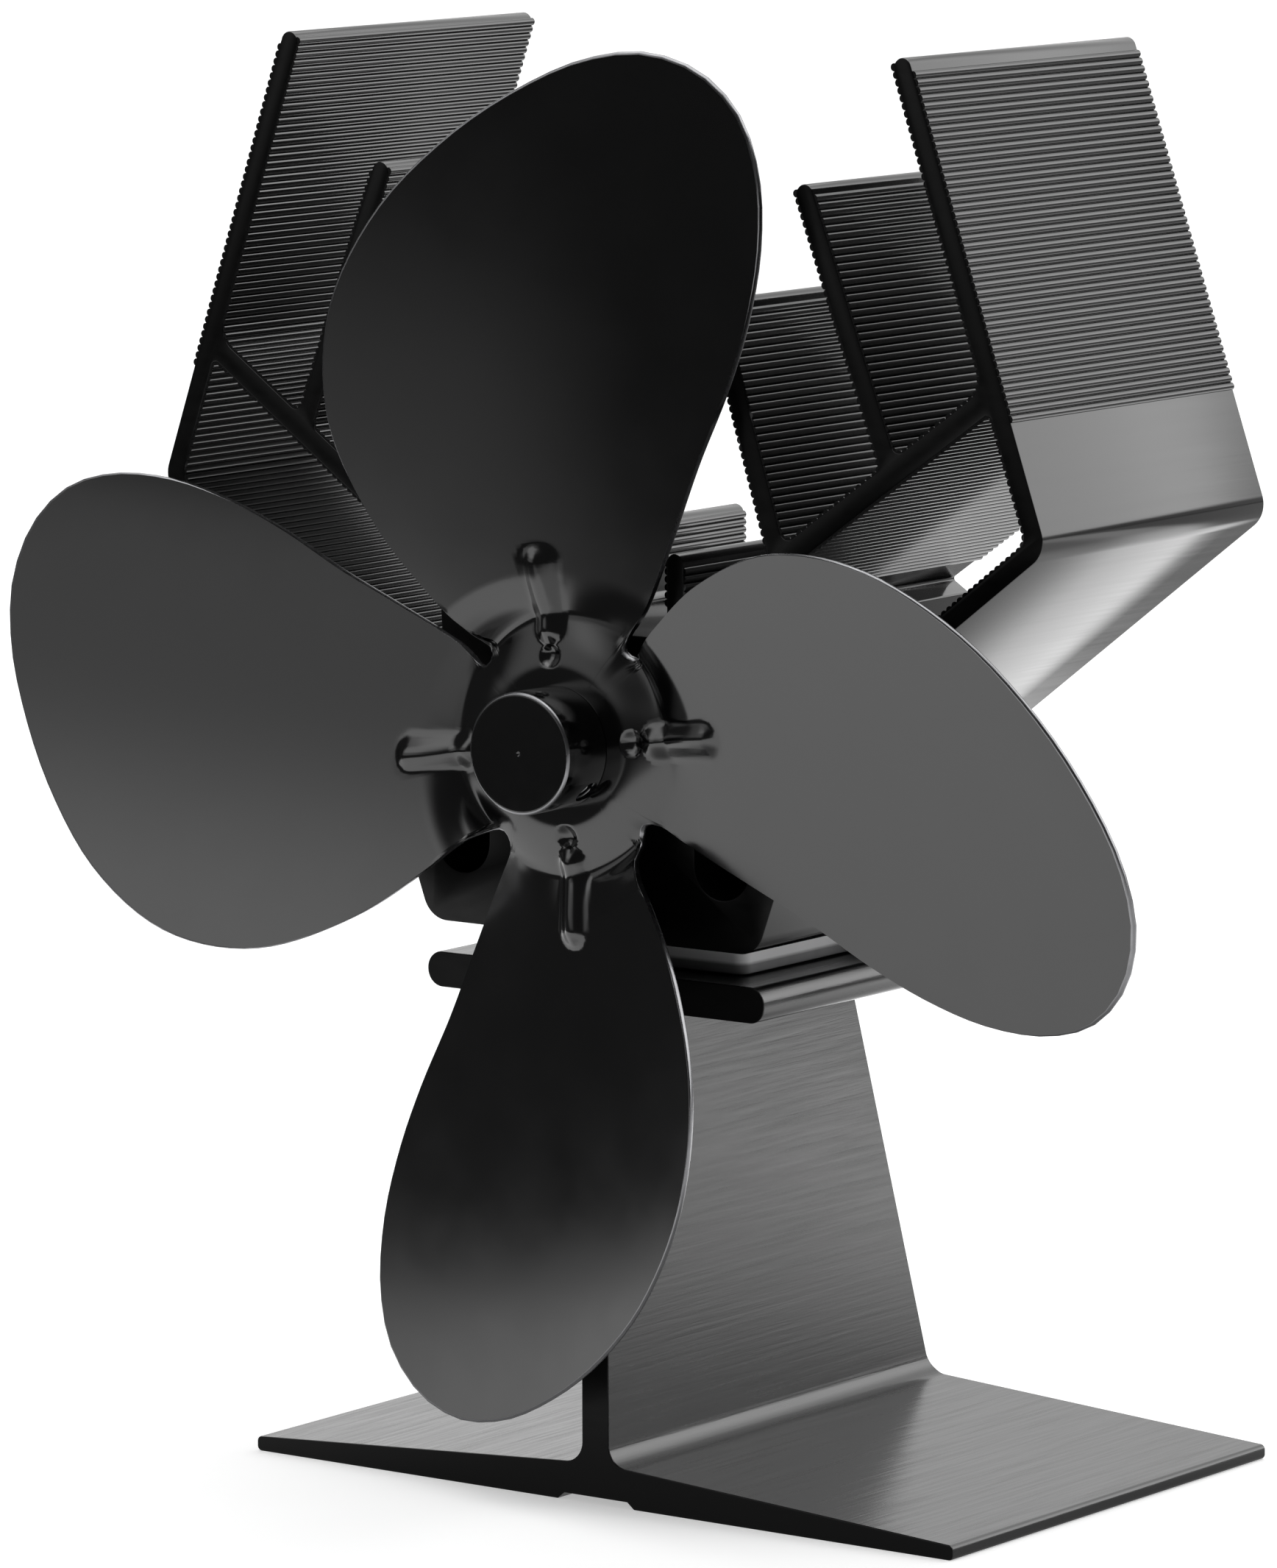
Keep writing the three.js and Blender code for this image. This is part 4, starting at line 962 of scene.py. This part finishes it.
def edgePoints():
    v = blades
    points = []
    for i in range(v["count"]):
        turn = 2 * math.pi * i / v["count"]
        for along, across in bladeOutline:
            x = along * math.cos(turn) - across * math.sin(turn)
            z = along * math.sin(turn) + across * math.cos(turn)
            points.append(np.array((x, z)) * v["tipRadius"])
    count = len(points)
    dense = []
    for i in range(count):
        p = [points[(i + k) % count] for k in (-1, 0, 1, 2)]
        t = [0.0]
        for a, b in zip(p, p[1:]):
            t.append(t[-1] + math.sqrt(np.linalg.norm(b - a)))
        steps = np.linspace(t[1], t[2], v["splineSteps"], endpoint=False)
        dense.extend(splinePoint(p, t, s) for s in steps)
    dense = np.array(dense)
    # columns are even in a mix of angle and length, so that the roots stay fine
    step = np.roll(dense, -1, axis=0) - dense
    weight = np.linalg.norm(step, axis=1) / (v["columnEase"] + np.hypot(dense[:, 0], dense[:, 1]))
    total = np.concatenate([[0], np.cumsum(weight)])
    places = np.linspace(0, total[-1], v["columns"], endpoint=False)
    index = np.searchsorted(total, places, side="right") - 1
    share = (places - total[index]) / weight[index]
    return dense[index] + step[index] * share[:, None]


def sheetRings(rim):
    # the rings lie closest where the dimples and the beads' ends are
    v = blades
    reach = np.minimum(rim - v["outerBand"], v["innerReach"])
    inner = np.interp(np.linspace(0, 1, v["innerRings"]), v["ringPlaces"], v["ringShares"])
    rings = [v["hole"] + (reach - v["hole"]) * t for t in inner]
    for t in np.linspace(0, 1, v["outerRings"] + 1)[1:]:
        rings.append(reach + (rim - v["thickness"] / 2 - reach) * (1 - (1 - t) ** v["ringPower"]))
    return rings


def makeBlades():
    v = blades
    edge = edgePoints()
    rim = np.hypot(edge[:, 0], edge[:, 1])
    way = edge / rim[:, None]
    rings = sheetRings(rim)
    half = v["thickness"] / 2
    # out along the front, round the rim, and in again behind: (radii, y)
    order = [(radii, 0.0) for radii in rings]
    for k in range(v["rimSteps"] + 1):
        angle = math.pi * k / v["rimSteps"]
        inward = half * (1 - math.sin(angle)) * v["rimFullness"]
        order.append((rim - inward, half * (1 - math.cos(angle))))
    order.extend((radii, v["thickness"]) for radii in reversed(rings))
    turn = math.radians(v["turn"])
    vertices = []
    for radii, offset in order:
        x = way[:, 0] * radii
        z = way[:, 1] * radii
        y = sheetFront(x, z) - pressed(x, z) + offset
        turnedX = x * math.cos(turn) - z * math.sin(turn)
        turnedZ = x * math.sin(turn) + z * math.cos(turn)
        vertices.extend((np.stack([turnedX, frontY + y, axisZ + turnedZ], axis=1) * mm).tolist())
    faces = []
    onRim = []
    columns = v["columns"]
    for j in range(len(order)):
        low = j * columns
        high = (j + 1) % len(order) * columns
        for i in range(columns):
            k = (i + 1) % columns
            faces.append((low + i, high + i, high + k, low + k))
            onRim.append(len(rings) <= j < len(rings) + v["rimSteps"])
    item = meshObject("bladeSheet", vertices, faces)
    # the rim faces get the bright grey metal of the painted rim highlight
    for face, atRim in zip(item.data.polygons, onRim):
        face.material_index = int(atRim)
    with meshEdit(item.data) as edit:
        bmesh.ops.recalc_face_normals(edit, faces=edit.faces[:])
    setAutoSmooth(item, v["smoothAngle"])
    item.data.materials.append(blackSatin)
    item.data.materials.append(highlightMetal)
    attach(item, "rotor")
    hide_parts("fan_blades")


makeBlades()
print("blades made")


# Hub: a turned cap with a broken edge, a centre mark and the grub screw's hole
hubValues = {
    "bevel": 0.36, "bevelLead": (0.3, 0.02),
    "bevelSteps": ((0.7, 0.14), (0.3, 0.5), (0.06, 0.85), (0, 1.1)), "backEdge": (0.25, 0.07),
    "spigot": 5, "spigotEnd": 11, "shaftHole": 1.3, "nose": 1.5,
    "mark": 0.35, "markDepth": 0.2, "markSlope": (0.5, 0.7), "sides": 160, "smoothAngle": 32,
    "grubHole": 1.75, "grubSetback": 6.8, "grubAngle": -42, "cutterPlace": 0.85, "cutterSides": 40,
    "threadPitch": 0.5, "threadWire": 0.12, "threadDepth": 2.0, "threadSetback": 0.75,
    "threadBite": 0.02, "threadSteps": 32, "wireSteps": 8,
}


def grubLine():
    # the middle of the hub at the grub screw, and the way out through its hole
    turn = math.radians(hubValues["grubAngle"])
    middle = Vector((0, frontY + hubFront + hubValues["grubSetback"], axisZ))
    return middle, Vector((math.cos(turn), 0, math.sin(turn)))


def hubProfile():
    v = hubValues
    r = hubRadius
    b = v["bevel"]
    inset, dip = v["bevelLead"]
    wide, narrow = v["backEdge"]
    slope, depth = v["markSlope"]
    end = hubFront + v["spigotEnd"]
    return [
        (0, hubFront + v["markDepth"]), (v["mark"] * slope, hubFront + v["markDepth"] * depth),
        (v["mark"], hubFront), (r - b - inset, hubFront), (r - b, hubFront + dip),
        *[(r - b * inward, hubFront + b * deep) for inward, deep in v["bevelSteps"]],
        (r, hubBack - wide), (r - narrow, hubBack - narrow), (r - wide, hubBack),
        (v["spigot"], hubBack), (v["spigot"], end), (v["shaftHole"], end),
        (v["shaftHole"], hubFront + v["nose"]), (0, hubFront + v["nose"]),
    ]


def makeHub():
    v = hubValues
    item = turned("hubCap", hubProfile(), v["sides"])
    cutter = bpy.data.meshes.new("grubCutter")
    radius = v["grubHole"] * mm
    with meshEdit(cutter) as edit:
        bmesh.ops.create_cone(
            edit, cap_ends=True, segments=v["cutterSides"], radius1=radius, radius2=radius,
            depth=hubRadius * mm,
        )
    tool = bpy.data.objects.new("grubCutter", cutter)
    scene.collection.objects.link(tool)
    middle, outward = grubLine()
    place = Matrix.Translation((middle + outward * (hubRadius * v["cutterPlace"])) * mm)
    tool.matrix_world = place @ outward.to_track_quat("Z", "Y").to_matrix().to_4x4()
    hole = item.modifiers.new("grub", "BOOLEAN")
    hole.operation = "DIFFERENCE"
    hole.solver = "EXACT"
    hole.object = tool
    bakeModifiers(item)
    bpy.data.objects.remove(tool)
    setAutoSmooth(item, v["smoothAngle"])
    item.data.materials.clear()
    item.data.materials.append(blackTurned)
    item.data.materials.append(highlightMetal)
    # painted highlight: the front bevel gets the bright grey metal of the blade rims, so it shines more
    # than the rest
    for face in item.data.polygons:
        out = math.hypot(face.center.x, face.center.z - axisZ * mm) / mm
        behind = face.center.y / mm - frontY - hubFront
        face.material_index = int(out > hubRadius - v["bevel"] and behind < v["bevel"])
    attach(item, "rotor")
    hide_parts("hub")


def threadTree():
    # rings one after another along a line, for the thread in the grub screw's hole
    tree, nodes, start = startTree("threadRings", {
        "Pitch": "NodeSocketFloat", "Ring radius": "NodeSocketFloat", "Wire radius": "NodeSocketFloat",
        "Turn": "NodeSocketVector",
    })
    kind = "GeometryNodeCurvePrimitiveCircle"
    ring = nodes.add(kind, {"Resolution": hubValues["threadSteps"], "Radius": start["Ring radius"]})
    wire = nodes.add(kind, {"Resolution": hubValues["wireSteps"], "Radius": start["Wire radius"]})
    values = {"Curve": ring["Curve"], "Profile Curve": wire["Curve"]}
    solid = nodes.add("GeometryNodeCurveToMesh", values)["Mesh"]
    layAlong(nodes, start, solid, start["Turn"])
    return tree


def makeThread():
    v = hubValues
    middle, outward = grubLine()
    outer = hubRadius - v["threadSetback"]
    ends = [(middle + outward * reach) * mm for reach in (outer, outer - v["threadDepth"])]
    item = growPiece("grubThread", ends, [(0, 1)], threadTree(), {
        "Pitch": v["threadPitch"] * mm, "Ring radius": (v["grubHole"] - v["threadBite"]) * mm,
        "Wire radius": v["threadWire"] * mm, "Turn": tuple(outward.to_track_quat("Z", "Y").to_euler()),
        "Material": steelPlain,
    })
    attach(item, "rotor")


steelPlain = plainMetal("steelPlain", (0.56, 0.56, 0.57), 0.3)
makeHub()
makeThread()
print("hub made")


# Block between the plate and the heat sink
block = {"half": 20, "radius": 1.8, "wall": 4.6, "softEdge": 0.35, "arcStep": 9, "smoothAngle": 30}


def makeBlock():
    low = np.array(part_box("module_frame")[0]) / mm
    high = np.array(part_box("module_frame")[1]) / mm
    middleY = float(low[1] + high[1]) / 2
    h = block["half"]
    r = block["radius"]
    ring = roundedOutline([(-h, -h, r), (h, -h, r), (h, h, r), (-h, h, r)], block["arcStep"])
    hole = h - block["wall"]
    inner = [(-hole, -hole), (hole, -hole), (hole, hole), (-hole, hole)]
    item = bevelledExtrusion("moduleBlock", ring, [inner], 0, float(high[2] - low[2]), block["softEdge"])
    # drawn in x and z, so it is laid down: its y becomes height
    lay = Matrix(((1, 0, 0, 0), (0, 0, -1, middleY * mm), (0, 1, 0, float(low[2]) * mm), (0, 0, 0, 1)))
    item.data.transform(lay)
    setAutoSmooth(item, block["smoothAngle"])
    item.data.materials.append(blockMaterial())
    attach(item, "stand")
    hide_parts("module_frame")


makeBlock()
print("block made")


# Finishes for the nodes that keep their own shape
steelDark = plainMetal("steelDark", (0.05, 0.05, 0.053), 0.42)
brassPlain = plainMetal("brassPlain", (0.62, 0.44, 0.17), 0.34)
copperPlain = plainMetal("copperPlain", (0.58, 0.24, 0.11), 0.36)
graphiteDull = dullSolid("graphiteDull", (0.03, 0.03, 0.032), 0.7)
ceramicDull = dullSolid("ceramicDull", (0.78, 0.77, 0.72), 0.6)
tellurideGrey = plainMetal("tellurideGrey", (0.3, 0.31, 0.33), 0.45)
ferriteDull = dullSolid("ferriteDull", (0.035, 0.033, 0.032), 0.75)
nylonPale = dullSolid("nylonPale", (0.74, 0.71, 0.6), 0.5)
redSleeve = dullSolid("redSleeve", (0.42, 0.015, 0.012), 0.45)
blackSleeve = dullSolid("blackSleeve", (0.012, 0.012, 0.012), 0.45)
finishBySlot = {
    "black_anodised": blackAnodised, "black_satin": blackSatin, "black_turned": blackTurned,
    "steel": steelPlain, "dark_steel": steelDark, "brass": brassPlain, "copper": copperPlain,
    "graphite": graphiteDull, "ceramic": ceramicDull, "telluride": tellurideGrey,
    "ferrite": ferriteDull, "silicone": graphiteDull, "nylon": nylonPale,
    "red_sleeve": redSleeve, "black_sleeve": blackSleeve,
}
for entry in frame["record"]["subparts"]:
    node = frame["nodes"][entry["node"]]
    node.data.materials.clear()
    node.data.materials.append(finishBySlot[entry["material_slot"]])
print("nodes finished")
